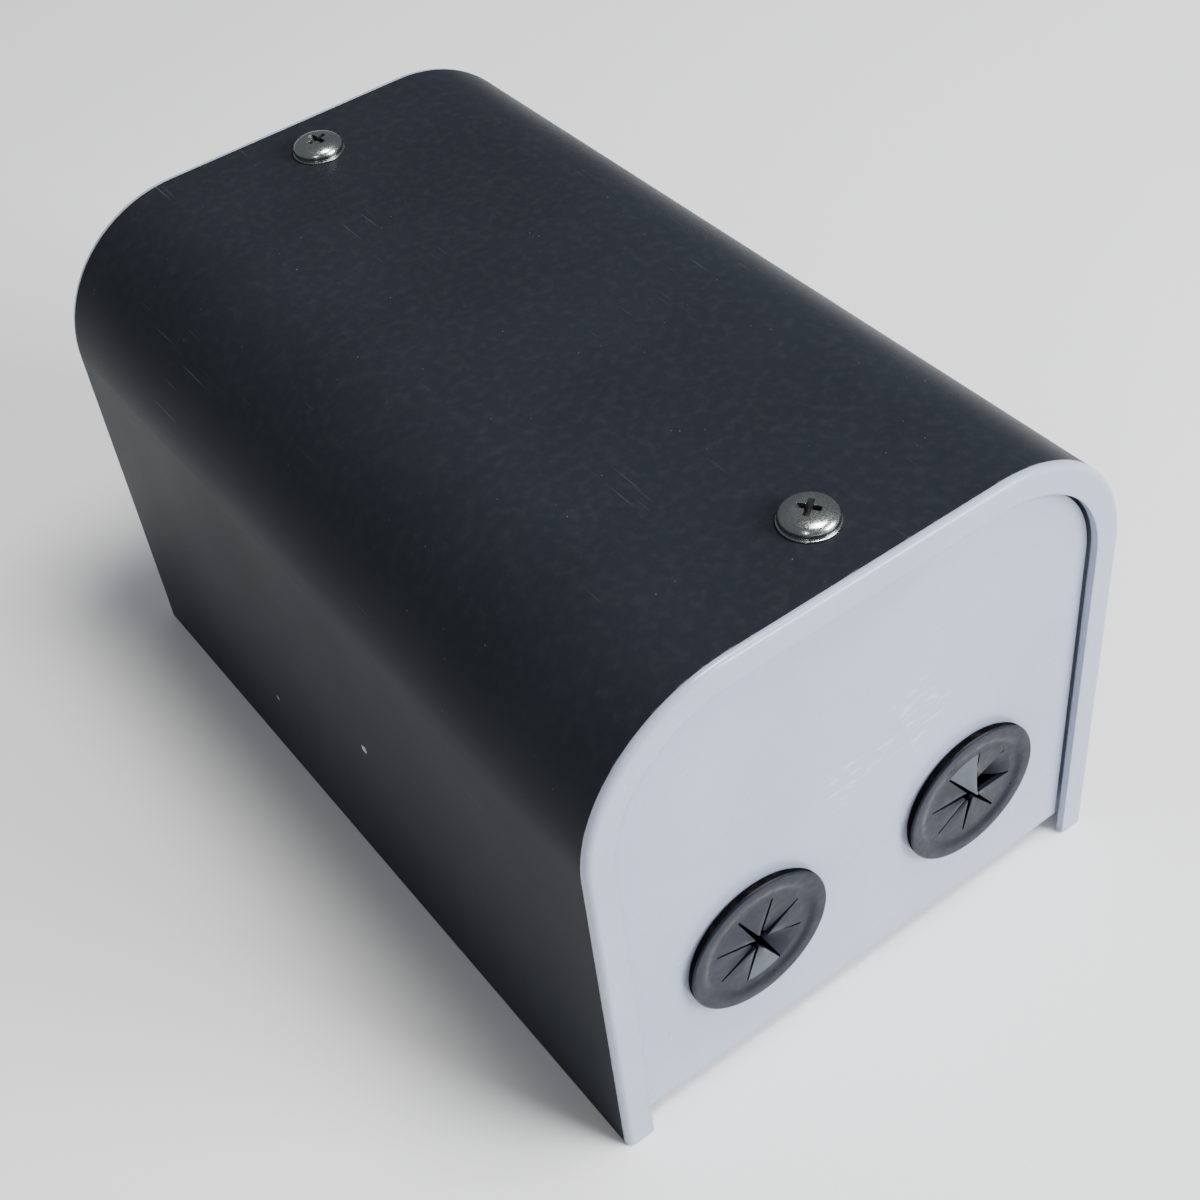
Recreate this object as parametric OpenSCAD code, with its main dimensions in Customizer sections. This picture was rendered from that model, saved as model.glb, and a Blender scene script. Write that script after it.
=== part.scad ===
// Control and connection box of a pedestrian light.
// A folded tray carries the circuit board and the two cable grommets. A bent cover with an end
// frame in each mouth drops over it and is held by one screw at each end of its top.
// The frame: X across the box, Y along it (the cable grommets are at -Y), Z up.
// The origin is the middle of the footprint, on the surface that the rubber feet stand on.

/* [Case] */
// Width over the side walls at the bottom
case_w = 120; // [112:1:150]
// Length over the two end frames
case_l = 190; // [182:1:240]
// Height from the resting surface to the top of the cover
case_h = 112; // [94:1:140]
// Outer radius of the two long bends of the cover
corner_r = 31; // [25:0.5:36]

/* [Cover] */
// Sheet thickness of the cover
cover_t = 1.2; // [1:0.1:1.6]
// Gap between the cover's lower edge and the resting surface
skirt_lift = 0.5; // [0.3:0.1:2]

/* [End frames] */
// Width of the frame's face, from its outer to its inner edge
rim_w = 5.8; // [5:0.2:9]
// Thickness of the lip that closes the cover's edge
rim_t = 1.6; // [1.4:0.1:3]
// Radius of the lip's outer front edge
rim_round = 1.3; // [0.5:0.1:1.3]
// Thickness of the collar that sits inside the cover
collar_t = 1.6; // [1.2:0.1:2.5]
// Depth of the collar
collar_l = 22; // [20:1:28]
// Clearance between the collar and the cover
collar_gap = 0.2; // [0.1:0.05:0.4]
// Radius of the boss that the cover screw passes through
boss_r = 5; // [4:0.5:6]

/* [Tray] */
// Sheet thickness of the tray
tray_t = 1.5; // [1:0.1:2]
// Height of the tray's underside, which is also the height of a rubber foot
tray_lift = 4; // [3:0.5:8]
// Inner radius of the tray's folds
fold_r = 0.5; // [0.3:0.1:1]
// Distance of an end wall behind the face of its end frame
recess = 2; // [1.8:0.1:3]
// Gap between an end wall and the end frame around it
wall_gap = 0.6; // [0.4:0.1:1]
// Height of the side flanges above the tray's underside
flange_h = 12; // [8:1:20]
// Clearance between a side flange and the cover
flange_gap = 0.4; // [0.3:0.1:1]
// Width of the tab that carries a cover nut
tab_w = 24; // [18:1:30]
// Length of that tab
tab_l = 20; // [18:1:24]

/* [Cover screws] */
// Distance of a cover screw from the face of its end frame
screw_inset = 15.4; // [13:0.1:17]
// Shank radius of a cover screw
screw_r = 2.5; // [2:0.25:2.5]
// Length under the head
screw_l = 14; // [13:1:16]
// Radius of the pan head
head_r = 5.4; // [4.5:0.1:5.6]
// Height of the pan head
head_h = 2.7; // [2.2:0.1:3.2]
// Radius of the washer
washer_r = 5.6; // [5.2:0.1:6]
// Thickness of the washer
washer_t = 0.5; // [0.4:0.1:1]
// Radius of the clearance holes for the screws
clear_r = 2.8; // [2.7:0.05:3.1]

/* [Cable grommets] */
// Distance of a grommet's axis from the middle of the box
grommet_x = 26.3; // [20:0.1:28]
// Height of a grommet's axis
grommet_z = 35.5; // [32:0.1:46]
// Radius of the outer flange
grommet_r = 15.8; // [14:0.1:17]
// Radius of the hole in the end wall
panel_hole_r = 13; // [12:0.25:13.5]
// Depth of a grommet from the face of its flange
grommet_l = 9; // [7:0.5:11]
// Thickness of the slit membrane
membrane_t = 1; // [0.8:0.1:1.5]
// Width of a slit
slit_w = 0.5; // [0.3:0.1:0.8]
// Number of flaps between the slits
flap_count = 8; // [6:2:12]
// Radius of the hole where the slits meet
eye_r = 1.5; // [1:0.1:2.5]

/* [Mounting] */
// Distance between the mounting holes across the box
mount_dx = 100; // [98:1:102]
// Distance between the mounting holes along the box
mount_dy = 116; // [100:1:120]
// Radius of a mounting hole
mount_r = 2.25; // [1.75:0.25:2.5]
// Radius of a rubber foot
foot_r = 6; // [5:0.5:7]

/* [Circuit board] */
// Width of the board
board_w = 88; // [86:1:88]
// Length of the board
board_l = 132; // [128:1:134]
// Thickness of the board
board_t = 1.6; // [1.2:0.2:2]
// Height of the standoffs
standoff_h = 8; // [6:1:12]
// Distance of a board screw from the board's edges
board_inset = 4; // [3.6:0.2:4.4]
// Thickness of the insulating sheet under the board
sheet_t = 0.4; // [0.2:0.1:0.6]

/* [Hidden] */

$fn = 64;
cut = 1;                                 // how far a cutting shape runs past what it cuts
half_l = case_l / 2;

// The side profile: two upright legs, two bends about these centres and a flat top.
bend_z = case_h - corner_r;
bend_x = case_w / 2 - corner_r;

// Levels
tray_top = tray_lift + tray_t;
board_z = tray_top + standoff_h;
deck = board_z + board_t;                // the board's upper face
cover_in = case_h - cover_t;             // the cover's inner face at the top
collar_low = cover_in - collar_gap - collar_t;

// The end wall and its tab
wall_r = corner_r - rim_w - wall_gap;
wall_top = bend_z + wall_r;
wall_y = half_l - recess;                // outer face of an end wall
fold_out = fold_r + tray_t;
flat_y = half_l - rim_t - collar_l - 1;  // end of the tray's full-width floor
flat_x = case_w / 2 - cover_t - flange_gap;
screw_y = half_l - screw_inset;

// The blind rivet nut of a cover screw
nut_r = 3.5;
nut_l = 10;
nut_flange_r = 4.8;
nut_flange_t = 0.8;
nut_top = wall_top + nut_flange_t;
grommet_turns = [-19, -9];                // each grommet is pressed in at its own angle
fit_gap = 0.05;                          // radial clearance of a shank, a nut or a bush in its hole

// The board's plan
board_y0 = -58;                          // the board's front edge
board_x = board_w / 2 - board_inset;
board_ys = [board_y0 + board_inset, board_y0 + board_l - board_inset];
m3_r = 1.5;
m3_head_r = 2.8;
m3_head_h = 1.9;
m3_l = 6;
m3_clear_r = 1.7;
hex_standoff_r = 3.2;

// Terminal rows: pitch, body depth, height, socket size and the left end of each row
way = 7.5;
term_d = 10;
term_h = 14;
term_end = 0.8;
term_y = board_y0 + 1;
socket = 3.8;
term_screw_r = 1.8;
supply_x = -36.5;
supply_ways = 3;
lamp_x = -10.5;
lamp_ways = 6;

// Fuse
fuse_c = [-25, -36];
fuse_r = 2.6;
fuse_l = 20;
cap_l = 5.5;
cap_t = 0.3;
glass_r = fuse_r - cap_t - fit_gap;
glass_t = 0.5;
clip_t = 0.5;
clip_gap = 0.15;
fuse_z = deck + clip_t + clip_gap + fuse_r;

// Relays
relay_size = [19, 15.5, 15.3];
relay_xs = [-5.5, 16.5];
relay_y = -43.5;

// Surge arrester: a disc on two legs
arrester_c = [-40, -36];
arrester_r = 5;
arrester_t = 4;
arrester_leg_r = 0.4;
arrester_leg_dy = 2.5;

// Smoothing capacitors: centre, radius and height of each
capacitors = [[-33, -13, 8, 25], [-37, 6, 5, 16]];

// Rectifier: a flat block on four legs
rectifier_c = [-38, 34];
rectifier_size = [3.6, 15, 11];
rectifier_lift = 3;
rectifier_pitch = 3.8;

// Quartz crystal: a can with round ends on a base
crystal_c = [-17.5, -13];
crystal_size = [10.5, 4.4, 3.6];
crystal_brim = 0.4;

// Signal lamps on the board
led_x = 37;
led_red_y = -21;
led_green_y = -12;
led_r = 2.5;
led_h = 6;                               // height of the lens below its dome

// Heat sink and regulator
sink_c = [-17, 7];
sink_w = 26;
sink_base = 2;
sink_fin = 9;
sink_h = 25;
fin_count = 7;
fin_t = 1;
tab_size = [10, 1.3, 15.5];
chip_body = [10, 3.1, 9];
reg_lift = 4;                            // height of the regulator's body above the board

// Timing chip and its socket
chip_c = [8, -13];
chip_size = [35.6, 7.2, 3.4];
socket_size = [36, 10, 4.2];
pin_pitch = 2.54;
pin_count = 14;

// Four-way switch
block_c = [8, 8];
block_size = [11.6, 6.6, 5];
lever_count = 4;
lever_pitch = 2.54;
lever_w = 1.1;
lever_l = 1.5;
lever_travel = 1.8;
lever_gap = 0.15;
slot_deep = 1.6;
lever_up = 0.8;

// Trimmer
trimmer_c = [24, 8];
trimmer_w = 9.5;
trimmer_h = 5;
rotor_r = 3.3;
rotor_h = 1.2;
rotor_gap = 0.1;

// Test button
button_c = [37, 8];
button_w = 6;
button_body_h = 3.5;
cap_r = 1.75;
cap_up = 2.6;
cap_in = 1.6;
button_travel = 0.4;
button_gap = 0.15;

// Transformer: laminated core, strap and windings
trans_c = [0, 46];
core_w = 48;
core_h = 40;
core_d = 17;
leg_w = 8;                               // an outer leg; the middle leg is twice as wide
yoke_h = 8;
bobbin_t = 1.2;
bobbin_gap = 0.3;
coil_out = 6;                            // build of the winding outside the bobbin's tube
strap_t = 1;
strap_foot = 9;
trans_lift = 0.6;
strap_w = 14;
core_z = deck + trans_lift;
window_w = (core_w - 4 * leg_w) / 2;
window_h = core_h - 2 * yoke_h;
strap_xs = [-core_w / 2 - strap_t - strap_foot / 2 - 0.5, core_w / 2 + strap_t + strap_foot / 2 + 0.5];
tube_w = 2 * leg_w + 2 * bobbin_gap;     // inside of the bobbin's tube
tube_d = core_d + 2 * bobbin_gap;

// Cable clamp
bridge_y = -72;
bridge_w = 10;
bridge_x = 44;
bridge_foot = 7;
saddle_size = [28, 8, 6];
saddle_dx = 10;
saddle_bore = 3.2;
bridge_top = grommet_z - saddle_bore;
saddle_screw_l = 8;
saddle_xs = [for (x = [-grommet_x, grommet_x], side = [-saddle_dx, saddle_dx]) x + side];

// Earth stud
earth_c = [0, -82.7];
earth_l = 14;
nut_across = 4;                          // corner radius of the earth nut
earth_nut_h = 3.2;

// ---- shared shapes ----

// Runs a flat section (x = distance from the bend's centre, y = towards the front) along the
// side profile: a leg, a bend, the top, a bend and a leg.
module wrap() {
    rotate([90, 0, 0]) {
        translate([-bend_x, bend_z, 0]) rotate([90, 0, 90]) linear_extrude(2 * bend_x) children();
        for (side = [0, 1]) mirror([side, 0, 0]) translate([bend_x, bend_z, 0]) {
            rotate_extrude(angle = 90, $fn = 128) children();
            rotate([90, 0, 0]) linear_extrude(bend_z - skirt_lift) children();
        }
    }
}

// A flat plate with the side profile's outline at radius r from the bends, standing on level low.
module profile_plate(r, low, thick) {
    translate([-bend_x - r, low, 0]) cube([2 * (bend_x + r), bend_z - low, thick]);
    translate([-bend_x, bend_z, 0]) cube([2 * bend_x, r, thick]);
    for (side = [0, 1]) mirror([side, 0, 0]) translate([bend_x, bend_z, 0])
        rotate_extrude(angle = 90, $fn = 128) square([r, thick]);
}

// A quarter fold of the tray's sheet, from +X round to +Y, running up +Z.
module fold(run) {
    rotate_extrude(angle = 90) translate([fold_r, 0]) square([tray_t, run]);
}

// A block centred on a point of the plan, standing on level z.
module block(c, z, size) {
    translate([c[0] - size[0] / 2, c[1] - size[1] / 2, z]) cube(size);
}

// A pan head with a cross recess, standing on z = 0.
module pan_head(r, h) {
    edge = h * 0.3;
    dome = (r * r + (h - edge) * (h - edge)) / (2 * (h - edge));
    difference() {
        rotate_extrude() polygon(concat([[0, 0], [r, 0]],
            [for (a = [0:0.2:1]) let (x = r * (1 - a)) [x, h - dome + sqrt(dome * dome - x * x)]]));
        for (turn = [0, 90]) rotate([0, 0, turn])
            translate([-r * 0.55, -r * 0.11, h * 0.45]) cube([r * 1.1, r * 0.22, h]);
    }
}

// A machine screw with its head standing on z = 0 and its shank below.
module machine_screw(shank_r, shank_l, r, h) {
    pan_head(r, h);
    translate([0, 0, -shank_l]) cylinder(r = shank_r, h = shank_l);
}

// A flat ring standing on z = 0.
module ring(outer, inner, h) {
    difference() {
        cylinder(r = outer, h = h);
        translate([0, 0, -cut]) cylinder(r = inner, h = h + 2 * cut);
    }
}

// ---- case ----

module cover_shell() {
    color("#2b2f34") difference() {
        wrap() translate([corner_r - cover_t, rim_t - half_l]) square([cover_t, case_l - 2 * rim_t]);
        for (y = [-screw_y, screw_y]) translate([0, y, cover_in - cut])
            cylinder(r = clear_r, h = cover_t + 2 * cut);
    }
}

// The front frame: a lip with a rounded edge, a collar inside the cover and a screw boss.
module end_frame() {
    collar_r = corner_r - cover_t - collar_gap;
    collar_end = half_l - rim_t - collar_l;
    section = concat(
        [[corner_r - rim_w, half_l]],
        [for (a = [90:-15:0]) [corner_r - rim_round * (1 - cos(a)), half_l - rim_round * (1 - sin(a))]],
        [[corner_r, half_l - rim_t], [collar_r, half_l - rim_t], [collar_r, collar_end],
            [collar_r - collar_t, collar_end], [collar_r - collar_t, half_l - rim_t],
            [corner_r - rim_w, half_l - rim_t]]);
    difference() {
        union() {
            wrap() polygon(section);
            translate([0, -screw_y, nut_top])
                cylinder(r = boss_r, h = collar_low + collar_t / 2 - nut_top);
        }
        translate([0, -screw_y, nut_top - cut]) cylinder(r = clear_r, h = case_h);
    }
}

module front_end_frame() {
    color("#bcc3cf") end_frame();
}

module rear_end_frame() {
    color("#bcc3cf") mirror([0, 1, 0]) end_frame();
}

// The rear half of the tray's end work: wall, fold to the floor, fold to the nut tab and the tab.
module tray_end() {
    low = tray_lift + fold_out;
    low_x = bend_x + wall_r;
    fold_y = wall_y - fold_out;
    translate([0, wall_y, 0]) rotate([90, 0, 0]) difference() {
        profile_plate(wall_r, low, tray_t);
        translate([-tab_w / 2 - 1, wall_top - fold_out, -cut])
            cube([tab_w + 2, fold_out + cut, tray_t + 2 * cut]);
    }
    translate([-low_x, fold_y, low]) rotate([0, 90, 0]) fold(2 * low_x);
    translate([tab_w / 2, fold_y, wall_top - fold_out]) rotate([0, -90, 0]) fold(tab_w);
    translate([-tab_w / 2, wall_y - tab_l, wall_top - tray_t]) cube([tab_w, tab_l - fold_out, tray_t]);
    translate([-low_x, flat_y, tray_lift]) cube([2 * low_x, fold_y - flat_y, tray_t]);
}

module base_tray() {
    edge_x = flat_x - fold_out;
    color("#b7bfcc") difference() {
        union() {
            translate([-edge_x, -flat_y, tray_lift]) cube([2 * edge_x, 2 * flat_y, tray_t]);
            for (side = [0, 1]) mirror([side, 0, 0]) {
                translate([edge_x, -flat_y, tray_lift + fold_out]) rotate([-90, 0, 0]) fold(2 * flat_y);
                translate([flat_x - tray_t, -flat_y, tray_lift + fold_out])
                    cube([tray_t, 2 * flat_y, flange_h - fold_out]);
            }
            for (end = [0, 1]) mirror([0, end, 0]) tray_end();
        }
        for (x = [-mount_dx / 2, mount_dx / 2], y = [-mount_dy / 2, mount_dy / 2])
            translate([x, y, tray_lift - cut]) cylinder(r = mount_r, h = tray_t + 2 * cut);
        for (y = [-screw_y, screw_y]) translate([0, y, wall_top - tray_t - cut])
            cylinder(r = nut_r + fit_gap, h = tray_t + 2 * cut);
        for (x = [-grommet_x, grommet_x]) translate([x, -wall_y - cut, grommet_z])
            rotate([-90, 0, 0]) cylinder(r = panel_hole_r, h = tray_t + 2 * cut);
    }
}

module rubber_feet() {
    color("#1c1c1e") for (x = [-mount_dx / 2, mount_dx / 2], y = [-mount_dy / 2, mount_dy / 2])
        translate([x, y, 0]) difference() {
            rotate_extrude() polygon([[0, 0], [foot_r - 1, 0], [foot_r, 1], [foot_r, tray_lift],
                [0, tray_lift]]);
            translate([0, 0, -cut]) cylinder(r = mount_r, h = tray_lift + 2 * cut);
        }
}

// ---- cable grommets ----

// A rubber grommet with a domed flange, a groove for the end wall and a membrane cut into flaps.
module grommet() {
    neck_r = panel_hole_r - fit_gap;
    bore_r = neck_r - 1.9;
    lip_r = panel_hole_r + 1;
    face = 0.5;                          // depth of the membrane behind the flange's face
    behind = recess + tray_t + fit_gap;
    difference() {
        rotate_extrude($fn = 96) polygon([[0, -face], [bore_r, -face], [bore_r + 0.6, -0.15],
            [bore_r + 1.3, 0], [grommet_r - 1.1, 0], [grommet_r - 0.4, -0.3], [grommet_r, -1],
            [grommet_r, -recess], [neck_r, -recess], [neck_r, -behind], [lip_r, -behind],
            [lip_r, -behind - 1], [neck_r - 0.5, -grommet_l], [bore_r, -grommet_l],
            [bore_r, -face - membrane_t], [0, -face - membrane_t]]);
        for (i = [0:flap_count / 2 - 1]) rotate([0, 0, i * 360 / flap_count])
            translate([-bore_r + 1.2, -slit_w / 2, -face - membrane_t - cut])
                cube([2 * bore_r - 2.4, slit_w, membrane_t + 2 * cut]);
        translate([0, 0, -face - membrane_t - cut]) cylinder(r = eye_r, h = membrane_t + 2 * cut);
    }
}

module cable_grommet_left() {
    color("#3f434a") translate([-grommet_x, -half_l, grommet_z]) rotate([90, 0, 0])
        rotate([0, 0, grommet_turns[0]]) grommet();
}

module cable_grommet_right() {
    color("#3f434a") translate([grommet_x, -half_l, grommet_z]) rotate([90, 0, 0])
        rotate([0, 0, grommet_turns[1]]) grommet();
}

// ---- cover screws ----

module cover_screw(y, turn) {
    color("#c9ccce") translate([0, y, case_h + washer_t]) rotate([0, 0, turn])
        machine_screw(screw_r, screw_l, head_r, head_h);
}

module cover_screw_front() { cover_screw(-screw_y, 20); }

module cover_screw_rear() { cover_screw(screw_y, 65); }

module cover_washer(y) {
    color("#b9bcbe") translate([0, y, case_h]) ring(washer_r, screw_r + 2 * fit_gap, washer_t);
}

module cover_washer_front() { cover_washer(-screw_y); }

module cover_washer_rear() { cover_washer(screw_y); }

module cover_nuts() {
    color("#c8b878") for (y = [-screw_y, screw_y]) translate([0, y, wall_top]) difference() {
        union() {
            cylinder(r = nut_flange_r, h = nut_flange_t);
            translate([0, 0, -nut_l]) cylinder(r = nut_r, h = nut_l);
        }
        translate([0, 0, -nut_l - cut])
            cylinder(r = screw_r + fit_gap, h = nut_l + nut_flange_t + 2 * cut);
    }
}

// ---- circuit board and its fixings ----

module insulation_sheet() {
    sheet_w = 2 * (board_x - hex_standoff_r - 0.4);
    color("#e8e4d2") translate([-sheet_w / 2, board_y0, tray_top]) cube([sheet_w, board_l, sheet_t]);
}

module board_standoffs() {
    color("#cfae5c") for (x = [-board_x, board_x], y = board_ys) translate([x, y, tray_top]) difference() {
        cylinder(r = hex_standoff_r, h = standoff_h, $fn = 6);
        translate([0, 0, cut]) cylinder(r = m3_r + fit_gap, h = standoff_h);
    }
}

module circuit_board() {
    color("#1f5a34") difference() {
        translate([-board_w / 2, board_y0, board_z]) cube([board_w, board_l, board_t]);
        for (x = [-board_x, board_x], y = board_ys) translate([x, y, board_z - cut])
            cylinder(r = m3_clear_r, h = board_t + 2 * cut);
        for (x = strap_xs) translate([x, trans_c[1], board_z - cut])
            cylinder(r = m3_clear_r, h = board_t + 2 * cut);
    }
}

module board_screws() {
    color("#b9bcbe") {
        for (x = [-board_x, board_x], y = board_ys) translate([x, y, deck])
            machine_screw(m3_r, m3_l, m3_head_r, m3_head_h);
        for (x = strap_xs) translate([x, trans_c[1], deck + strap_t])
            machine_screw(m3_r, m3_l, m3_head_r, m3_head_h);
    }
}

// ---- terminals ----

// A row of cage terminals: a wire socket in the front of each way and a screw well above it.
module terminal_row(x0, ways) {
    row_l = ways * way + 2 * term_end;
    difference() {
        translate([x0, term_y, deck]) cube([row_l, term_d, term_h]);
        translate([x0 - cut, term_y - cut, deck + term_h - 2.5])
            cube([row_l + 2 * cut, cut + 2, 2.5 + cut]);
        for (i = [0:ways - 1]) {
            x = x0 + term_end + (i + 0.5) * way;
            translate([x - socket / 2, term_y - cut, deck + 2]) cube([socket, 7 + cut, socket]);
            translate([x, term_y + term_d / 2 + 1, deck + 7]) cylinder(r = term_screw_r + 0.2, h = term_h);
        }
    }
}

module supply_terminals() {
    color("#5b6168") terminal_row(supply_x, supply_ways);
}

module lamp_terminals() {
    color("#2f7d4d") terminal_row(lamp_x, lamp_ways);
}

module terminal_screws() {
    rows = [[supply_x, supply_ways], [lamp_x, lamp_ways]];
    color("#c9ccce") for (row = rows, i = [0:row[1] - 1])
        translate([row[0] + term_end + (i + 0.5) * way, term_y + term_d / 2 + 1, deck + 7]) difference() {
            cylinder(r = term_screw_r, h = 4.5);
            translate([-term_screw_r, -0.3, 3.6]) cube([2 * term_screw_r, 0.6, 2]);
        }
}

// ---- fuse ----

module fuse_clips() {
    reach = fuse_r + clip_gap;
    color("#c9b57a") for (side = [-1, 1])
        translate([fuse_c[0] + side * (fuse_l - cap_l) / 2 - cap_l / 2, fuse_c[1], deck]) {
            translate([0, -reach - clip_t, 0]) cube([cap_l, 2 * (reach + clip_t), clip_t]);
            for (y = [-reach - clip_t, reach]) translate([0, y, 0]) cube([cap_l, clip_t, fuse_r * 3.2]);
        }
}

module fuse_glass() {
    inner = fuse_l - 2 * cap_t - 2 * fit_gap;
    color("#dfe9ec") translate([fuse_c[0] - inner / 2, fuse_c[1], fuse_z]) rotate([0, 90, 0])
        ring(glass_r, glass_r - glass_t, inner);
}

module fuse_caps() {
    color("#c9ccce") for (side = [0, 1]) translate([fuse_c[0], fuse_c[1], fuse_z]) mirror([side, 0, 0])
        translate([fuse_l / 2 - cap_l, 0, 0]) rotate([0, 90, 0]) difference() {
            cylinder(r = fuse_r, h = cap_l);
            translate([0, 0, -cut]) cylinder(r = fuse_r - cap_t, h = cap_l - cap_t + cut);
        }
}

// ---- parts on the board ----

module relays() {
    color("#2456a0") for (x = relay_xs) translate([x, relay_y, deck]) difference() {
        cube(relay_size);
        translate([1.2, 1.2, relay_size[2] - 0.4])
            cube([relay_size[0] - 2.4, relay_size[1] - 2.4, 0.4 + cut]);
    }
}

module surge_arrester() {
    lift = arrester_r + 2;
    color("#2a62b8") translate([arrester_c[0], arrester_c[1], deck]) {
        translate([-arrester_t / 2, 0, lift]) rotate([0, 90, 0]) cylinder(r = arrester_r, h = arrester_t);
        for (y = [-arrester_leg_dy, arrester_leg_dy]) translate([0, y, 0])
            cylinder(r = arrester_leg_r, h = arrester_r);
    }
}

module smoothing_capacitors() {
    color("#20242e") for (c = capacitors) translate([c[0], c[1], deck])
        rotate_extrude() polygon([[0, 0], [c[2] - 0.4, 0], [c[2], 0.4], [c[2], 2.4], [c[2] - 0.6, 3],
            [c[2], 3.6], [c[2], c[3] - 0.6], [c[2] - 0.6, c[3]], [0, c[3]]]);
}

module rectifier() {
    leg = [0.6, 1, rectifier_lift];
    color("#26262a") {
        block(rectifier_c, deck + rectifier_lift, rectifier_size);
        for (i = [-1.5:1.5]) block([rectifier_c[0], rectifier_c[1] + i * rectifier_pitch], deck, leg);
    }
}

module heat_sink() {
    fin_pitch = (sink_w - fin_t) / (fin_count - 1);
    color("#9a9ea3") translate([sink_c[0] - sink_w / 2, sink_c[1], deck]) difference() {
        union() {
            cube([sink_w, sink_base, sink_h]);
            for (i = [0:fin_count - 1]) translate([i * fin_pitch, sink_base, 0])
                cube([fin_t, sink_fin, sink_h]);
        }
        translate([sink_w / 2, -cut, reg_lift + tab_size[2] - 3]) rotate([-90, 0, 0])
            cylinder(r = m3_r + fit_gap, h = sink_base + 2 * cut, $fn = 32);
    }
}

module voltage_regulator() {
    color("#2c2c30") translate([sink_c[0], sink_c[1], deck + reg_lift]) {
        difference() {
            translate([-tab_size[0] / 2, -tab_size[1], 0]) cube(tab_size);
            translate([0, -tab_size[1] - cut, tab_size[2] - 3]) rotate([-90, 0, 0])
                cylinder(r = m3_clear_r, h = tab_size[1] + 2 * cut, $fn = 32);
        }
        translate([-chip_body[0] / 2, -tab_size[1] - chip_body[1], 0]) cube(chip_body);
        for (i = [-1:1]) translate([i * pin_pitch - 0.4, -tab_size[1] - 1.4, -reg_lift])
            cube([0.8, 0.5, reg_lift]);
    }
}

module regulator_screw() {
    color("#b9bcbe") translate([sink_c[0], sink_c[1] - tab_size[1], deck + reg_lift + tab_size[2] - 3])
        rotate([90, 0, 0]) machine_screw(m3_r, m3_l - 2.5, m3_head_r, m3_head_h);
}

module chip_socket() {
    window = [socket_size[0] - 5, socket_size[1] - 6, socket_size[2] + 2 * cut];
    color("#1d1d20") difference() {
        block(chip_c, deck, socket_size);
        block(chip_c, deck - cut, window);
    }
}

module timing_chip() {
    top = deck + socket_size[2];
    row_y = (socket_size[1] - 2) / 2;
    color("#18181b") {
        difference() {
            block(chip_c, top + 0.5, chip_size);
            translate([chip_c[0] - chip_size[0] / 2, chip_c[1], top + 0.5 + chip_size[2] - 0.6])
                cylinder(r = 1.2, h = 1);
        }
        for (i = [0:pin_count - 1], side = [-1, 1])
            translate([chip_c[0] + (i - (pin_count - 1) / 2) * pin_pitch - 0.6,
                    chip_c[1] + (side > 0 ? chip_size[1] / 2 - 0.5 : -row_y - 0.25), top])
                cube([1.2, row_y + 0.75 - chip_size[1] / 2, 1.8]);
    }
}

module clock_crystal() {
    size = crystal_size;
    base_t = 0.5;
    flat = size[0] - size[1];
    color("#c4c7ca") translate([crystal_c[0], crystal_c[1], deck]) {
        block([0, 0], 0, [size[0] + 2 * crystal_brim, size[1] + 2 * crystal_brim, base_t]);
        block([0, 0], base_t, [flat, size[1], size[2]]);
        for (side = [0, 1]) mirror([side, 0, 0]) translate([flat / 2, 0, base_t])
            rotate([0, 0, -90]) rotate_extrude(angle = 180) square([size[1] / 2, size[2]]);
    }
}

// ---- setting controls ----

// Plan position of a lever in its off position.
function lever_c(i) = [block_c[0] + (i - (lever_count - 1) / 2) * lever_pitch, block_c[1] - lever_travel / 2];

module switch_block() {
    slot = [lever_w + 2 * lever_gap, lever_l + lever_travel + 2 * lever_gap, slot_deep + cut];
    color("#b3261e") difference() {
        block(block_c, deck, block_size);
        for (i = [0:lever_count - 1])
            block([lever_c(i)[0], block_c[1]], deck + block_size[2] - slot_deep, slot);
    }
}

module switch_slider(i) {
    color("#efefe8") block(lever_c(i), deck + block_size[2] - slot_deep + fit_gap,
        [lever_w, lever_l, slot_deep - fit_gap + lever_up]);
}

module switch_slider_1() { switch_slider(0); }

module switch_slider_2() { switch_slider(1); }

module switch_slider_3() { switch_slider(2); }

module switch_slider_4() { switch_slider(3); }

module trimmer_body() {
    color("#2d5fae") difference() {
        block(trimmer_c, deck, [trimmer_w, trimmer_w, trimmer_h]);
        translate([trimmer_c[0], trimmer_c[1], deck + trimmer_h - rotor_h])
            cylinder(r = rotor_r + rotor_gap, h = rotor_h + cut);
    }
}

module trimmer_rotor() {
    low = deck + trimmer_h - rotor_h + fit_gap;
    color("#e9e6da") difference() {
        translate([trimmer_c[0], trimmer_c[1], low]) cylinder(r = rotor_r, h = rotor_h + 0.2);
        block(trimmer_c, low + rotor_h / 2, [rotor_r * 1.5, 0.8, rotor_h]);
    }
}

module test_button_body() {
    color("#26262a") difference() {
        block(button_c, deck, [button_w, button_w, button_body_h]);
        translate([button_c[0], button_c[1], deck + button_body_h - cap_in - button_travel - button_gap])
            cylinder(r = cap_r + button_gap, h = button_body_h);
    }
}

module test_button_cap() {
    color("#d9d4c4") translate([button_c[0], button_c[1], deck + button_body_h - cap_in])
        cylinder(r = cap_r, h = cap_in + cap_up);
}

// A lens with a domed top on a wider collar.
module led(y) {
    translate([led_x, y, deck]) {
        cylinder(r = led_r + 0.4, h = 1);
        rotate_extrude() polygon(concat([[0, 1], [led_r, 1]],
            [for (a = [0:15:90]) [led_r * cos(a), led_h + led_r * sin(a)]]));
    }
}

module led_red() { color("#c8201c") led(led_red_y); }

module led_green() { color("#2fa24a") led(led_green_y); }

// ---- transformer ----

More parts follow.
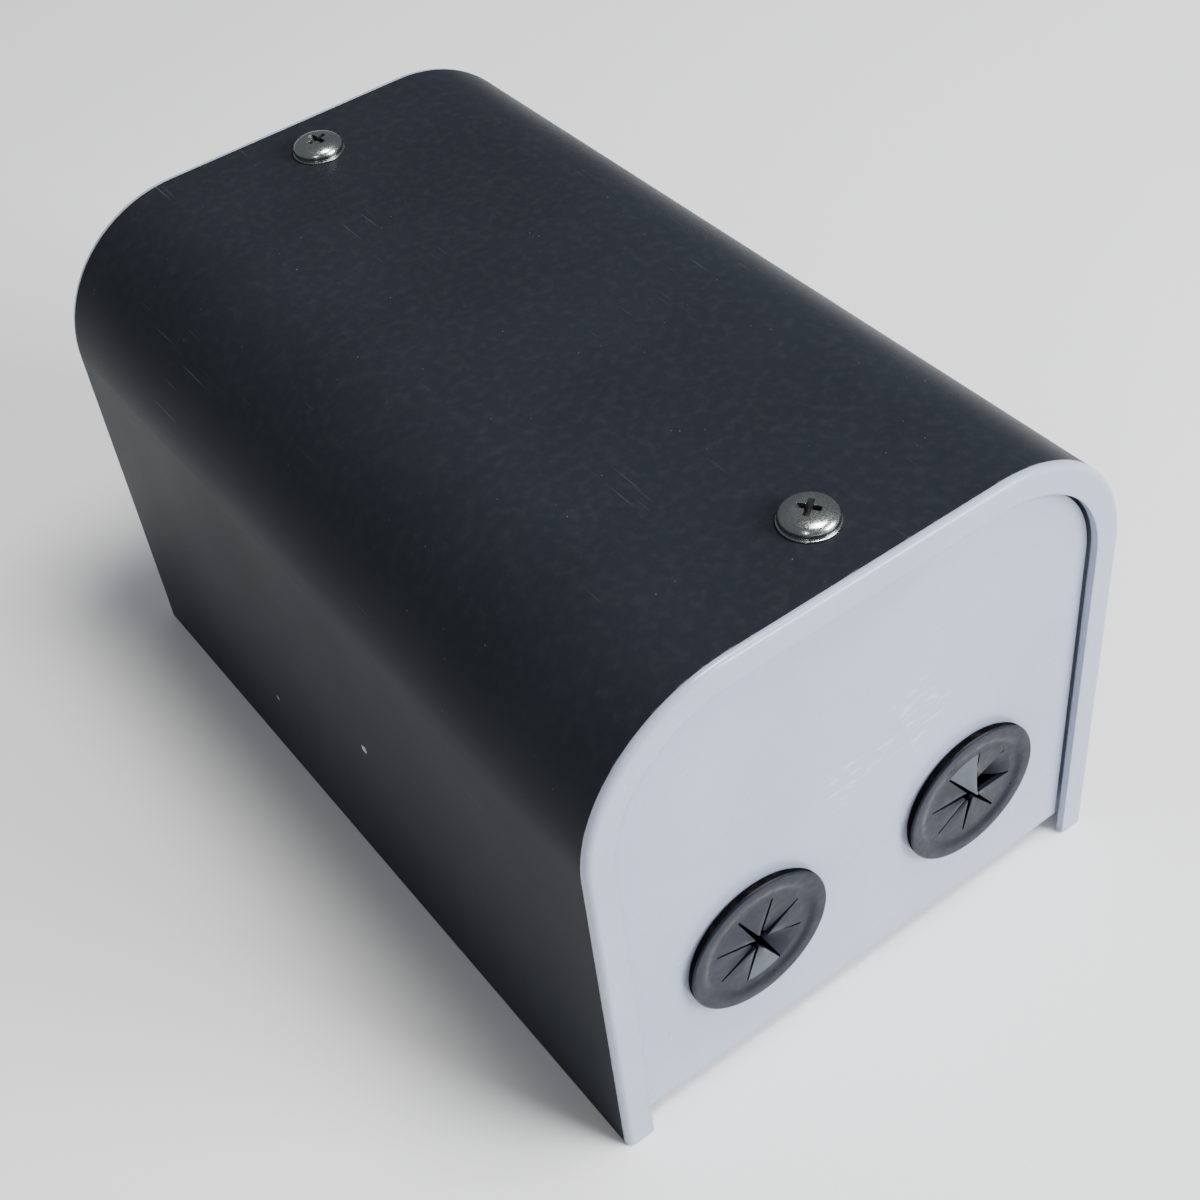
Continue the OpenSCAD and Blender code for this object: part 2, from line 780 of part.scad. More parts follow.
module transformer_core() {
    color("#4a4b50") translate([trans_c[0] - core_w / 2, trans_c[1] - core_d / 2, core_z]) difference() {
        cube([core_w, core_d, core_h]);
        for (x = [leg_w, core_w - leg_w - window_w]) translate([x, -cut, yoke_h])
            cube([window_w, core_d + 2 * cut, window_h]);
    }
}

module transformer_bobbin() {
    out_w = tube_w + 2 * bobbin_t;
    out_d = tube_d + 2 * bobbin_t;
    flange_w = 2 * leg_w + 2 * window_w - 2 * bobbin_gap;
    flange_d = out_d + 2 * coil_out + 1;
    low = core_z + yoke_h + bobbin_gap;
    tall = window_h - 2 * bobbin_gap;
    color("#ece7d8") difference() {
        union() {
            block(trans_c, low, [out_w, out_d, tall]);
            for (z = [0, (tall - bobbin_t) / 2, tall - bobbin_t])
                block(trans_c, low + z, [flange_w, flange_d, bobbin_t]);
        }
        block(trans_c, low - cut, [tube_w, tube_d, tall + 2 * cut]);
    }
}

module transformer_windings() {
    out_w = tube_w + 2 * bobbin_t;
    out_d = tube_d + 2 * bobbin_t;
    coil_w = 2 * leg_w + 2 * window_w - 2 * bobbin_gap - 0.6;
    tall = window_h - 2 * bobbin_gap;
    room = (tall - 3 * bobbin_t) / 2 - 0.2;
    low = core_z + yoke_h + bobbin_gap + bobbin_t + 0.1;
    color("#b5702c") for (i = [0, 1])
        difference() {
            block(trans_c, low + i * (tall - bobbin_t) / 2, [coil_w, out_d + 2 * coil_out, room]);
            block(trans_c, core_z, [out_w + 0.1, out_d + 0.1, core_h]);
        }
}

module transformer_strap() {
    gap = 0.1;
    side = core_w / 2 + gap;
    top = core_z + core_h + gap;
    color("#a9adb1") difference() {
        union() {
            block(trans_c, top, [2 * (side + strap_t), strap_w, strap_t]);
            for (x = [-side - strap_t / 2, side + strap_t / 2])
                block([x, trans_c[1]], deck, [strap_t, strap_w, top - deck]);
            for (x = strap_xs) block([x, trans_c[1]], deck, [strap_foot + 1, strap_w, strap_t]);
        }
        for (x = strap_xs) translate([x, trans_c[1], deck - cut])
            cylinder(r = m3_clear_r, h = strap_t + 2 * cut);
    }
}

module transformer_nuts() {
    color("#b9bcbe") for (x = strap_xs) translate([x, trans_c[1], board_z - 2.4]) difference() {
        cylinder(r = hex_standoff_r, h = 2.4, $fn = 6);
        translate([0, 0, -cut]) cylinder(r = m3_r + fit_gap, h = 2.4 + 2 * cut);
    }
}

// ---- cable clamp and earth ----

module clamp_bridge() {
    color("#a9adb1") difference() {
        union() {
            block([0, bridge_y], bridge_top - tray_t, [2 * bridge_x, bridge_w, tray_t]);
            for (side = [0, 1]) mirror([side, 0, 0]) {
                translate([bridge_x - tray_t, bridge_y - bridge_w / 2, tray_top])
                    cube([tray_t, bridge_w, bridge_top - tray_t - tray_top]);
                translate([bridge_x, bridge_y - bridge_w / 2, tray_top])
                    cube([bridge_foot, bridge_w, tray_t]);
            }
        }
        for (x = saddle_xs) translate([x, bridge_y, bridge_top - tray_t - cut])
            cylinder(r = m3_r + fit_gap, h = tray_t + 2 * cut, $fn = 32);
    }
}

module cable_saddles() {
    color("#2a2b2e") difference() {
        for (x = [-grommet_x, grommet_x]) block([x, bridge_y], bridge_top, saddle_size);
        for (x = [-grommet_x, grommet_x]) translate([x, bridge_y - saddle_size[1], bridge_top])
            rotate([-90, 0, 0]) cylinder(r = saddle_bore, h = 2 * saddle_size[1]);
        for (x = saddle_xs) translate([x, bridge_y, bridge_top - cut])
            cylinder(r = m3_clear_r, h = saddle_size[2] + 2 * cut, $fn = 32);
    }
}

module saddle_screws() {
    color("#b9bcbe") for (x = saddle_xs) translate([x, bridge_y, bridge_top + saddle_size[2]])
        machine_screw(m3_r, saddle_screw_l, m3_head_r, m3_head_h);
}

module earth_stud() {
    color("#b98b4a") translate([earth_c[0], earth_c[1], tray_top]) cylinder(r = screw_r, h = earth_l);
}

module earth_washer() {
    color("#b9bcbe") translate([earth_c[0], earth_c[1], tray_top])
        ring(washer_r, screw_r + fit_gap, washer_t);
}

module earth_nut() {
    color("#c9b57a") translate([earth_c[0], earth_c[1], tray_top + washer_t]) difference() {
        cylinder(r = nut_across, h = earth_nut_h, $fn = 6);
        translate([0, 0, -cut]) cylinder(r = screw_r + fit_gap, h = earth_nut_h + 2 * cut);
    }
}

cover_shell();
front_end_frame();
rear_end_frame();
base_tray();
rubber_feet();
cable_grommet_left();
cable_grommet_right();
cover_screw_front();
cover_screw_rear();
cover_washer_front();
cover_washer_rear();
cover_nuts();
insulation_sheet();
board_standoffs();
circuit_board();
board_screws();
supply_terminals();
lamp_terminals();
terminal_screws();
fuse_clips();
fuse_glass();
fuse_caps();
relays();
surge_arrester();
smoothing_capacitors();
rectifier();
heat_sink();
voltage_regulator();
regulator_screw();
timing_chip();
chip_socket();
clock_crystal();
switch_block();
switch_slider_1();
switch_slider_2();
switch_slider_3();
switch_slider_4();
trimmer_body();
trimmer_rotor();
test_button_body();
test_button_cap();
led_red();
led_green();
transformer_core();
transformer_bobbin();
transformer_windings();
transformer_strap();
transformer_nuts();
clamp_bridge();
cable_saddles();
saddle_screws();
earth_stud();
earth_washer();
earth_nut();
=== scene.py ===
import bpy, bmesh, math
from mathutils import Matrix, Vector


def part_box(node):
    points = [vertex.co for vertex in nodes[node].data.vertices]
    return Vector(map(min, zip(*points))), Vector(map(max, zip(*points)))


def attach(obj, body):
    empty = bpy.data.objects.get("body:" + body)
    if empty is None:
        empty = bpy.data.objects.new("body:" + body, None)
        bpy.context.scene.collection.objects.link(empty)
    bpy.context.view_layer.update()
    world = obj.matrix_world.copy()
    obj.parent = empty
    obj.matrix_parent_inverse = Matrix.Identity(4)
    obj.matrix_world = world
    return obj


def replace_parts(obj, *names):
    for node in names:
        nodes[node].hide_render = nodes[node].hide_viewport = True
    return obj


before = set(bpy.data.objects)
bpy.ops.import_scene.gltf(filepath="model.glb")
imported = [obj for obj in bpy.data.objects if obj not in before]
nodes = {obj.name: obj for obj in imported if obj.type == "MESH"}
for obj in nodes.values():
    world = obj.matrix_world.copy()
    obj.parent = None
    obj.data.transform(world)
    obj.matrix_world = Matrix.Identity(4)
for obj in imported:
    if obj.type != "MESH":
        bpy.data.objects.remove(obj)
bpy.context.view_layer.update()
MM = 0.001
AROUND = 96                 # segments of the grommets, the largest turned pieces
BOARD_TEXT = 0.05 * MM      # height of the printed lines over the board


def mm(points):
    """Points given in millimetres, as metres."""
    return [tuple(c * MM for c in p) for p in points]


# ---------------------------------------------------------------- materials

def srgb(code):
    """A linear colour from a six-digit sRGB code."""
    parts = [int(code[i:i + 2], 16) / 255 for i in (0, 2, 4)]
    return [p / 12.92 if p < 0.04045 else ((p + 0.055) / 1.055) ** 2.4 for p in parts] + [1.0]


def tint(colour, by):
    return [min(1.0, c * by) for c in colour[:3]] + [1.0]


class Shade:
    """A material whose patterns lie in object coordinates, so sizes are metres."""

    def __init__(self, name, rough=0.5, metal=0.0, **fixed):
        self.mat = bpy.data.materials.new(name)
        self.mat.use_nodes = True
        self.tree = self.mat.node_tree
        self.bsdf = self.tree.nodes["Principled BSDF"]
        self.bsdf.inputs["Metallic"].default_value = metal
        self.bsdf.inputs["Roughness"].default_value = rough
        for key, value in fixed.items():
            self.bsdf.inputs[key.replace("_", " ")].default_value = value
        self.place = self.node("TexCoord").outputs["Object"]
        self.normal = None

    def node(self, kind, **settings):
        n = self.tree.nodes.new("ShaderNode" + kind)
        for key, value in settings.items():
            setattr(n, key, value)
        return n

    def put(self, socket, value):
        if isinstance(value, bpy.types.NodeSocket):
            self.tree.links.new(value, socket)
        else:
            socket.default_value = value

    def calc(self, operation, a, b=0.0):
        n = self.node("Math", operation=operation)
        self.put(n.inputs[0], a)
        self.put(n.inputs[1], b)
        return n.outputs[0]

    def spot(self, size, stretch=(1, 1, 1), shift=(0, 0, 0)):
        m = self.node("Mapping")
        self.tree.links.new(self.place, m.inputs["Vector"])
        m.inputs["Location"].default_value = shift
        m.inputs["Scale"].default_value = [1 / (size * s) for s in stretch]
        return m.outputs["Vector"]

    def noise(self, size, detail=2.0, stretch=(1, 1, 1), shift=(0, 0, 0)):
        n = self.node("TexNoise")
        n.inputs["Scale"].default_value = 1.0
        n.inputs["Detail"].default_value = detail
        self.tree.links.new(self.spot(size, stretch, shift), n.inputs["Vector"])
        return n.outputs["Fac"]

    def cells(self, size, stretch=(1, 1, 1), feature="F1"):
        n = self.node("TexVoronoi", feature=feature)
        n.inputs["Scale"].default_value = 1.0
        self.tree.links.new(self.spot(size, stretch), n.inputs["Vector"])
        return n.outputs["Distance"]

    def bands(self, pitch, axis, wobble=0.0):
        """Stripes across an axis. A wave texture has 20 / (2 pi) stripes in each unit."""
        n = self.node("TexWave", bands_direction=axis, wave_profile="SIN")
        n.inputs["Scale"].default_value = 2 * math.pi / 20
        n.inputs["Distortion"].default_value = wobble
        self.tree.links.new(self.spot(pitch), n.inputs["Vector"])
        return n.outputs["Fac"]

    def step(self, value, low, high, a=0.0, b=1.0):
        n = self.node("MapRange", interpolation_type="SMOOTHSTEP")
        for socket, x in zip(n.inputs[:5], (value, low, high, a, b)):
            self.put(socket, x)
        return n.outputs[0]

    def blend(self, share, a, b):
        n = self.node("Mix", data_type="RGBA")
        self.put(n.inputs["Factor"], share)
        self.put(n.inputs[6], a)
        self.put(n.inputs[7], b)
        return n.outputs[2]

    def rounded(self, radius):
        n = self.node("Bevel", samples=4)
        n.inputs["Radius"].default_value = radius
        return n.outputs["Normal"]

    def edge(self, radius):
        """1 along outer and inner edges, 0 on faces."""
        dot = self.node("VectorMath", operation="DOT_PRODUCT")
        self.tree.links.new(self.rounded(radius), dot.inputs[0])
        self.tree.links.new(self.node("NewGeometry").outputs["Normal"], dot.inputs[1])
        return self.step(dot.outputs["Value"], 0.995, 0.9)

    def upward(self, low=0.3, high=0.9):
        """1 on faces that look up."""
        part = self.node("SeparateXYZ")
        self.tree.links.new(self.node("NewGeometry").outputs["Normal"], part.inputs[0])
        return self.step(part.outputs["Z"], low, high)

    def along(self, axis, low, high):
        part = self.node("SeparateXYZ")
        self.tree.links.new(self.place, part.inputs[0])
        return self.step(part.outputs[axis], low, high)

    def near(self, point, radius, soft):
        """1 inside a ball round a point, 0 outside."""
        n = self.node("VectorMath", operation="DISTANCE")
        self.tree.links.new(self.place, n.inputs[0])
        n.inputs[1].default_value = point
        return self.step(n.outputs["Value"], radius + soft, radius)

    def colour(self, value):
        self.put(self.bsdf.inputs["Base Color"], value)
        return self

    def rough(self, value):
        self.put(self.bsdf.inputs["Roughness"], value)
        return self

    def relief(self, height, depth, strength=1.0):
        n = self.node("Bump")
        n.inputs["Distance"].default_value = depth
        n.inputs["Strength"].default_value = strength
        self.put(n.inputs["Height"], height)
        if self.normal is not None:
            self.tree.links.new(self.normal, n.inputs["Normal"])
        self.normal = n.outputs["Normal"]
        self.tree.links.new(self.normal, self.bsdf.inputs["Normal"])
        return self

    def soften(self, radius):
        """Sharp edges catch the light as if they had this radius."""
        self.normal = self.rounded(radius)
        self.tree.links.new(self.normal, self.bsdf.inputs["Normal"])
        return self


def moulded(name, code, rough=0.42, mottle=0.08, grain=0.35, depth=0.012, edge=0.25, dust=0.12, **fixed):
    """Moulded plastic or rubber: fine grain, faint flow marks, rubbed edges and a little dust on top.

    grain, depth and edge are in millimetres."""
    s = Shade(name, rough, **fixed)
    base = srgb(code)
    s.soften(edge * MM)
    flow = s.noise(9 * MM, 3)
    body = s.blend(s.step(flow, 0.3, 0.7), tint(base, 1 - mottle), tint(base, 1 + mottle))
    rub = s.calc("MULTIPLY", s.edge(edge * MM), s.step(s.noise(1.5 * MM, 3), 0.35, 0.65))
    pale = [0.35 + 0.65 * c for c in base[:3]] + [1.0]
    body = s.blend(s.calc("MULTIPLY", rub, 0.35), body, pale)
    film = s.calc("MULTIPLY", s.upward(), s.step(s.noise(2.2 * MM, 4), 0.45, 0.8))
    body = s.blend(s.calc("MULTIPLY", film, dust), body, srgb("a49c8e"))
    s.colour(body)
    s.rough(s.step(s.noise(3 * MM, 4), 0.25, 0.75, rough - 0.07, rough + 0.09))
    s.relief(s.noise(grain * MM, 2), depth * MM)
    return s.mat


def metal(name, code, rough=0.3, lay=(1, 1, 1), tone=0.1, edge=0.2, stain="8a8474", marked=0.006, **fixed):
    """Plated, drawn or turned metal: fine marks along its lay, cloudy tone and dull stains.

    edge and marked, the depth of the marks, are in millimetres."""
    s = Shade(name, rough, 1.0, **fixed)
    base = srgb(code)
    s.soften(edge * MM)
    cloud = s.noise(4 * MM, 3)
    body = s.blend(s.step(cloud, 0.3, 0.7), tint(base, 1 - tone), tint(base, 1 + tone))
    dull = s.step(s.noise(1.8 * MM, 5, shift=(3, 1, 2)), 0.55, 0.8)
    body = s.blend(s.calc("MULTIPLY", dull, 0.35), body, srgb(stain))
    s.colour(body)
    marks = s.noise(0.25 * MM, 3, stretch=lay)
    s.rough(s.calc("ADD", s.step(marks, 0.3, 0.7, rough - 0.08, rough + 0.1),
                   s.calc("MULTIPLY", dull, 0.15)))
    s.relief(marks, marked * MM)
    return s.mat


def cover_finish():
    """Dark satin paint on sheet: orange peel, fine lines, specks and a few chips down to the metal."""
    s = Shade("cover_paint", 0.36, 0.0, Specular_IOR_Level=0.035)
    base = srgb("22252b")
    s.soften(0.35 * MM)
    body = s.blend(s.step(s.noise(45 * MM, 3), 0.3, 0.7), tint(base, 0.93), tint(base, 1.08))
    body = s.blend(s.calc("MULTIPLY", s.step(s.noise(0.8 * MM, 2), 0.45, 0.75), 0.12), body, tint(base, 1.5))
    film = s.calc("MULTIPLY", s.upward(0.2, 1.0), s.step(s.noise(2.2 * MM, 5), 0.4, 0.85))
    body = s.blend(s.calc("MULTIPLY", film, 0.014), body, srgb("b8b2a6"))
    specks = s.calc("MULTIPLY", s.step(s.cells(2.6 * MM), 0.055, 0.03), s.step(s.noise(14 * MM), 0.48, 0.62))
    body = s.blend(s.calc("MULTIPLY", specks, 0.35), body, srgb("9c9d9c"))
    lines = s.calc("MULTIPLY", s.step(s.noise(0.35 * MM, 1, stretch=(1, 60, 1)), 0.7, 0.76),
                   s.step(s.noise(22 * MM, 2, shift=(5, 2, 1)), 0.52, 0.66))
    body = s.blend(s.calc("MULTIPLY", lines, 0.2), body, srgb("74777a"))
    rub = s.calc("MULTIPLY", s.edge(0.5 * MM), s.step(s.noise(2.5 * MM, 4), 0.5, 0.7))
    body = s.blend(s.calc("MULTIPLY", rub, 0.5), body, srgb("8d9296"))
    ragged = s.step(s.noise(0.8 * MM, 3), 0.35, 0.55)
    for place, size in CHIPS:
        chip = s.calc("MULTIPLY", s.near(place, size, 0.25 * MM), ragged)
        body = s.blend(chip, body, srgb("b9bcc0"))
    s.colour(body)
    smudge = s.step(s.noise(34 * MM, 3, shift=(2, 7, 4)), 0.3, 0.75, 0.35, 0.39)
    s.rough(s.calc("ADD", smudge, s.calc("MULTIPLY", film, 0.06)))
    s.relief(s.noise(1.1 * MM, 1), 0.009 * MM)
    s.relief(s.noise(0.22 * MM, 1), 0.003 * MM)
    s.relief(lines, -0.01 * MM)
    return s.mat


def frame_finish():
    """Light blue-grey paint: grime in the corners, and pale scuffs."""
    s = Shade("frame_paint", 0.38, 0.0)
    base = srgb("a5adc2")
    s.soften(0.25 * MM)
    body = s.blend(s.step(s.noise(30 * MM, 3), 0.3, 0.7), tint(base, 0.95), tint(base, 1.04))
    body = s.blend(s.calc("MULTIPLY", s.step(s.noise(0.7 * MM, 2), 0.4, 0.7), 0.5), body, tint(base, 0.95))
    grime = s.calc("MULTIPLY", s.edge(1.2 * MM), s.step(s.noise(3 * MM, 4), 0.4, 0.7))
    body = s.blend(s.calc("MULTIPLY", grime, 0.28), body, srgb("6f6d6a"))
    for place, size in SCUFFS:
        streak = s.step(s.noise(1.6 * MM, 4, stretch=(2.4, 1, 0.7)), 0.5, 0.72)
        scuff = s.calc("MULTIPLY", s.near(place, size * 0.2, size), streak)
        body = s.blend(s.calc("MULTIPLY", scuff, 0.5), body, srgb("e2e5ea"))
    specks = s.calc("MULTIPLY", s.step(s.cells(5 * MM), 0.05, 0.03), s.step(s.noise(16 * MM), 0.5, 0.6))
    body = s.blend(s.calc("MULTIPLY", specks, 0.5), body, srgb("5e5c58"))
    s.colour(body)
    s.rough(s.step(s.noise(18 * MM, 4, shift=(1, 3, 2)), 0.3, 0.75, 0.2, 0.3))
    s.relief(s.noise(1.0 * MM, 1), 0.008 * MM)
    s.relief(s.noise(0.2 * MM, 1), 0.002 * MM)
    return s.mat


def grommet_finish():
    """Dark rubber with a faint pale bloom."""
    s = Shade("grommet_rubber", 0.34, 0.0, Specular_IOR_Level=0.14)
    base = srgb("131722")
    body = s.blend(s.step(s.noise(5 * MM, 4), 0.3, 0.72), tint(base, 0.85), tint(base, 1.15))
    bloom = s.step(s.noise(2.4 * MM, 5, shift=(4, 4, 1)), 0.55, 0.8)
    body = s.blend(s.calc("MULTIPLY", bloom, 0.04), body, srgb("7c8088"))
    wisps = s.step(s.noise(0.7 * MM, 3, stretch=(3, 1, 1)), 0.62, 0.78)
    body = s.blend(s.calc("MULTIPLY", wisps, 0.035), body, srgb("a2a6ad"))
    s.colour(body)
    s.rough(s.step(s.noise(1.6 * MM, 4), 0.3, 0.7, 0.27, 0.42))
    s.relief(s.noise(0.5 * MM, 2), 0.012 * MM)
    s.relief(s.noise(3.5 * MM, 2), 0.05 * MM)
    return s.mat


def board_finish():
    """Green solder mask over woven glass, with bare laminate at the cut edges."""
    s = Shade("board_laminate", 0.3, 0.0, Coat_Weight=0.3, Coat_Roughness=0.15)
    base = srgb("1f5a3a")
    weave = s.calc("MULTIPLY", s.bands(0.5 * MM, "X"), s.bands(0.5 * MM, "Y"))
    body = s.blend(s.step(s.noise(12 * MM, 3), 0.3, 0.7), tint(base, 0.85), tint(base, 1.15))
    body = s.blend(s.calc("MULTIPLY", weave, 0.3), body, tint(base, 1.35))
    rim = s.calc("SUBTRACT", 1.0, s.upward(0.5, 0.9))
    body = s.blend(s.calc("MULTIPLY", rim, 0.7), body, srgb("8d8450"))
    dust = s.step(s.noise(3 * MM, 5), 0.5, 0.8)
    body = s.blend(s.calc("MULTIPLY", dust, 0.1), body, srgb("b0a894"))
    s.colour(body)
    s.rough(s.step(s.noise(5 * MM, 4), 0.3, 0.7, 0.24, 0.42))
    s.relief(weave, 0.006 * MM)
    return s.mat


def lamination_finish():
    """Stacked core sheets with some rust."""
    s = Shade("core_steel", 0.4, 0.9)
    sheets = s.bands(0.5 * MM, "Y")
    body = s.blend(s.step(sheets, 0.15, 0.5), srgb("3a3430"), srgb("7d7a78"))
    body = s.blend(s.calc("MULTIPLY", s.step(s.noise(3 * MM, 5), 0.5, 0.7), 0.5), body, srgb("6b4a34"))
    s.colour(body)
    s.rough(s.step(s.noise(2 * MM, 3), 0.3, 0.7, 0.32, 0.52))
    s.relief(sheets, 0.06 * MM)
    return s.mat


def winding_finish():
    """Layers of varnished copper wire."""
    s = Shade("winding", 0.25, 0.7, Coat_Weight=0.5, Coat_Roughness=0.12)
    turns = s.bands(0.42 * MM, "Z", 0.4)
    body = s.blend(s.step(turns, 0.1, 0.8), srgb("4c1f0e"), srgb("b4632c"))
    body = s.blend(s.calc("MULTIPLY", s.step(s.noise(4 * MM, 3), 0.4, 0.7), 0.4), body, srgb("c07a3a"))
    s.colour(body)
    s.rough(s.step(s.noise(2 * MM, 3), 0.3, 0.7, 0.2, 0.34))
    s.relief(turns, 0.14 * MM)
    return s.mat


def sink_finish():
    """Black anodised aluminium, drawn upwards and worn along its edges."""
    s = Shade("sink_aluminium", 0.38, 0.85)
    draw = s.noise(0.3 * MM, 2, stretch=(1, 1, 40))
    body = s.blend(draw, srgb("26282b"), srgb("45484c"))
    worn = s.calc("MULTIPLY", s.edge(0.25 * MM), s.step(s.noise(1.5 * MM, 3), 0.4, 0.65))
    s.colour(s.blend(s.calc("MULTIPLY", worn, 0.7), body, srgb("a8abae")))
    s.rough(s.step(draw, 0.3, 0.7, 0.3, 0.46))
    s.relief(draw, 0.015 * MM)
    return s.mat


def sleeve_finish():
    """Shrunk plastic sleeve."""
    s = Shade("sleeve", 0.24, 0.0, Coat_Weight=0.4, Coat_Roughness=0.1)
    base = srgb("1d2436")
    body = s.blend(s.step(s.noise(6 * MM, 3), 0.3, 0.7), tint(base, 0.85), tint(base, 1.2))
    shrink = s.noise(1.8 * MM, 3, stretch=(1, 1, 4))
    s.colour(s.blend(s.calc("MULTIPLY", s.step(shrink, 0.55, 0.8), 0.2), body, srgb("4d566b")))
    s.rough(s.step(shrink, 0.3, 0.7, 0.18, 0.32))
    s.relief(shrink, 0.03 * MM)
    return s.mat


def clear(name, code, rough, weight, grain):
    """Glass or a tinted lens, with faint moulding or drawing marks."""
    s = Shade(name, rough, 0.0, Transmission_Weight=weight, IOR=1.49)
    base = srgb(code)
    s.colour(s.blend(s.step(s.noise(1.5 * MM, 3), 0.35, 0.7), tint(base, 0.94), base))
    s.rough(s.step(s.noise(1.2 * MM, 3), 0.3, 0.7, rough, rough + 0.05))
    s.relief(s.noise(grain * MM, 1), 0.004 * MM)
    return s.mat


def insulation_finish():
    """Pressed fibre sheet."""
    s = Shade("insulation", 0.5, 0.0)
    fibre = s.noise(0.5 * MM, 4, stretch=(1, 8, 1))
    body = s.blend(fibre, srgb("4a4238"), srgb("7b7060"))
    s.colour(body)
    s.rough(s.step(fibre, 0.3, 0.7, 0.45, 0.62))
    s.relief(fibre, 0.03 * MM)
    return s.mat


# Small chips in the cover's paint, and rubbed places on the end walls: centre and radius in metres.
CHIPS = [((-0.060, -0.0135, 0.0432), 0.0009), ((-0.060, 0.031, 0.0215), 0.0005),
         ((0.060, 0.022, 0.061), 0.0006)]
SCUFFS = [((0.0115, -0.093, 0.066), 0.012), ((-0.004, -0.093, 0.0612), 0.008),
          ((0.010, 0.093, 0.05), 0.012)]

MATERIALS = {
    "cover_paint": cover_finish(),
    "frame_paint": frame_finish(),
    "grommet_rubber": grommet_finish(),
    "foot_rubber": moulded("foot_rubber", "1c1c1d", 0.6, grain=0.5, depth=0.03),
    "zinc_steel": metal("zinc_steel", "b9bfbc", 0.2, marked=0.0015),
    "nut_steel": metal("nut_steel", "b8a66a", 0.3, stain="7d6c3e"),
    "brass": metal("brass", "c9a455", 0.26, stain="806434"),
    "strap_steel": metal("strap_steel", "a9adb0", 0.3, lay=(14, 1, 1)),
    "board_laminate": board_finish(),
    "insulation": insulation_finish(),
    "terminal_grey": moulded("terminal_grey", "8b9094", 0.45),
    "terminal_green": moulded("terminal_green", "2f8a4c", 0.42),
    "fuse_glass": clear("fuse_glass", "f2f6f6", 0.02, 1.0, 2.0),
    "relay_blue": moulded("relay_blue", "2a5b9c", 0.34, grain=0.25),
    "epoxy_blue": moulded("epoxy_blue", "2a62b8", 0.28, grain=0.8, depth=0.04),
    "sleeve": sleeve_finish(),
    "chip_epoxy": moulded("chip_epoxy", "202124", 0.5, grain=0.2, depth=0.015),
    "sink_aluminium": sink_finish(),
    "crystal_can": metal("crystal_can", "c9cdd0", 0.2),
    "switch_red": moulded("switch_red", "b5271f", 0.4),
    "lever_white": moulded("lever_white", "e4e1d6", 0.4),
    "trimmer_blue": moulded("trimmer_blue", "2d5fb0", 0.36),
    "button_grey": moulded("button_grey", "5c6064", 0.45),
    "lens_red": clear("lens_red", "d3201a", 0.08, 0.75, 0.8),
    "lens_green": clear("lens_green", "2fae52", 0.08, 0.75, 0.8),
    "core_steel": lamination_finish(),
    "bobbin_nylon": moulded("bobbin_nylon", "d9d3c2", 0.45),
    "winding": winding_finish(),
    "saddle_nylon": moulded("saddle_nylon", "c9c6bb", 0.5),
}

for part in nodes.values():
    for i, old in enumerate(part.data.materials):
        part.data.materials[i] = MATERIALS[old.name.split(".")[0]]

TRACK = moulded("track_mask", "2c7049", 0.3, grain=0.5, depth=0.008, edge=0.05, dust=0.1)
SOLDER = metal("solder", "b9bdbf", 0.24, tone=0.15, edge=0.05)
LEGEND = moulded("legend_ink", "dfe2dc", 0.55, grain=0.3, depth=0.006, edge=0.05, dust=0.1)
LEAD = metal("tinned_lead", "c2c5c6", 0.28, edge=0.05)
CERAMIC = moulded("ceramic_tan", "b98a4b", 0.4, grain=0.5, depth=0.03, edge=0.1)
RESISTOR = moulded("resistor_lacquer", "8fb3c4", 0.34, grain=0.5, depth=0.02, edge=0.1)
CAN_TOP = metal("can_top", "b4b8bb", 0.3, lay=(1, 1, 1))
STRIPE = moulded("sleeve_stripe", "9aa3b2", 0.3, edge=0.05, dust=0.1)
# Near-black, dull rubber for the grommets' flange sides: painted shade for the shadowed side wall and the
# crevice against the end wall.
SIDE_PAINTED_SHADE = moulded("grommet_side_painted_shade", "08080a", 0.85, mottle=0.2, edge=0.1, dust=0.03,
                      Specular_IOR_Level=0.03)
# A paler rubber for one flap of each grommet: a painted highlight.
PAINTED_HIGHLIGHT_RUBBER = moulded("grommet_painted_highlight", "3e434b", 0.5, mottle=0.25, grain=0.6, edge=0.1)
# Dark metal for the insides of the screws' cross recesses: painted shade.
RECESS_PAINTED_SHADE = metal("recess_painted_shade", "4a4c4c", 0.5, stain="2c2a26", edge=0.05)
BANDS = [moulded("band_" + n, c, 0.34, edge=0.05) for n, c in
         (("brown", "5b3219"), ("black", "1b1b1b"), ("red", "b3261c"), ("gold", "b48a3c"))]


# ---------------------------------------------------------------- mesh tools

def piece(name, bm, finish, body, smooth=True, angle=35, matrix=None):
    """Makes an object from a mesh in the shared frame, and lets it ride on a body."""
    if matrix is not None:
        bm.transform(matrix)
    bmesh.ops.recalc_face_normals(bm, faces=bm.faces)
    data = bpy.data.meshes.new(name)
    bm.to_mesh(data)
    bm.free()
    for m in finish if isinstance(finish, list) else [finish]:
        data.materials.append(m)
    for f in data.polygons:
        f.use_smooth = smooth
    if smooth:
        data.set_sharp_from_angle(angle=math.radians(angle))
    obj = bpy.data.objects.new(name, data)
    bpy.context.scene.collection.objects.link(obj)
    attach(obj, body)
    return obj


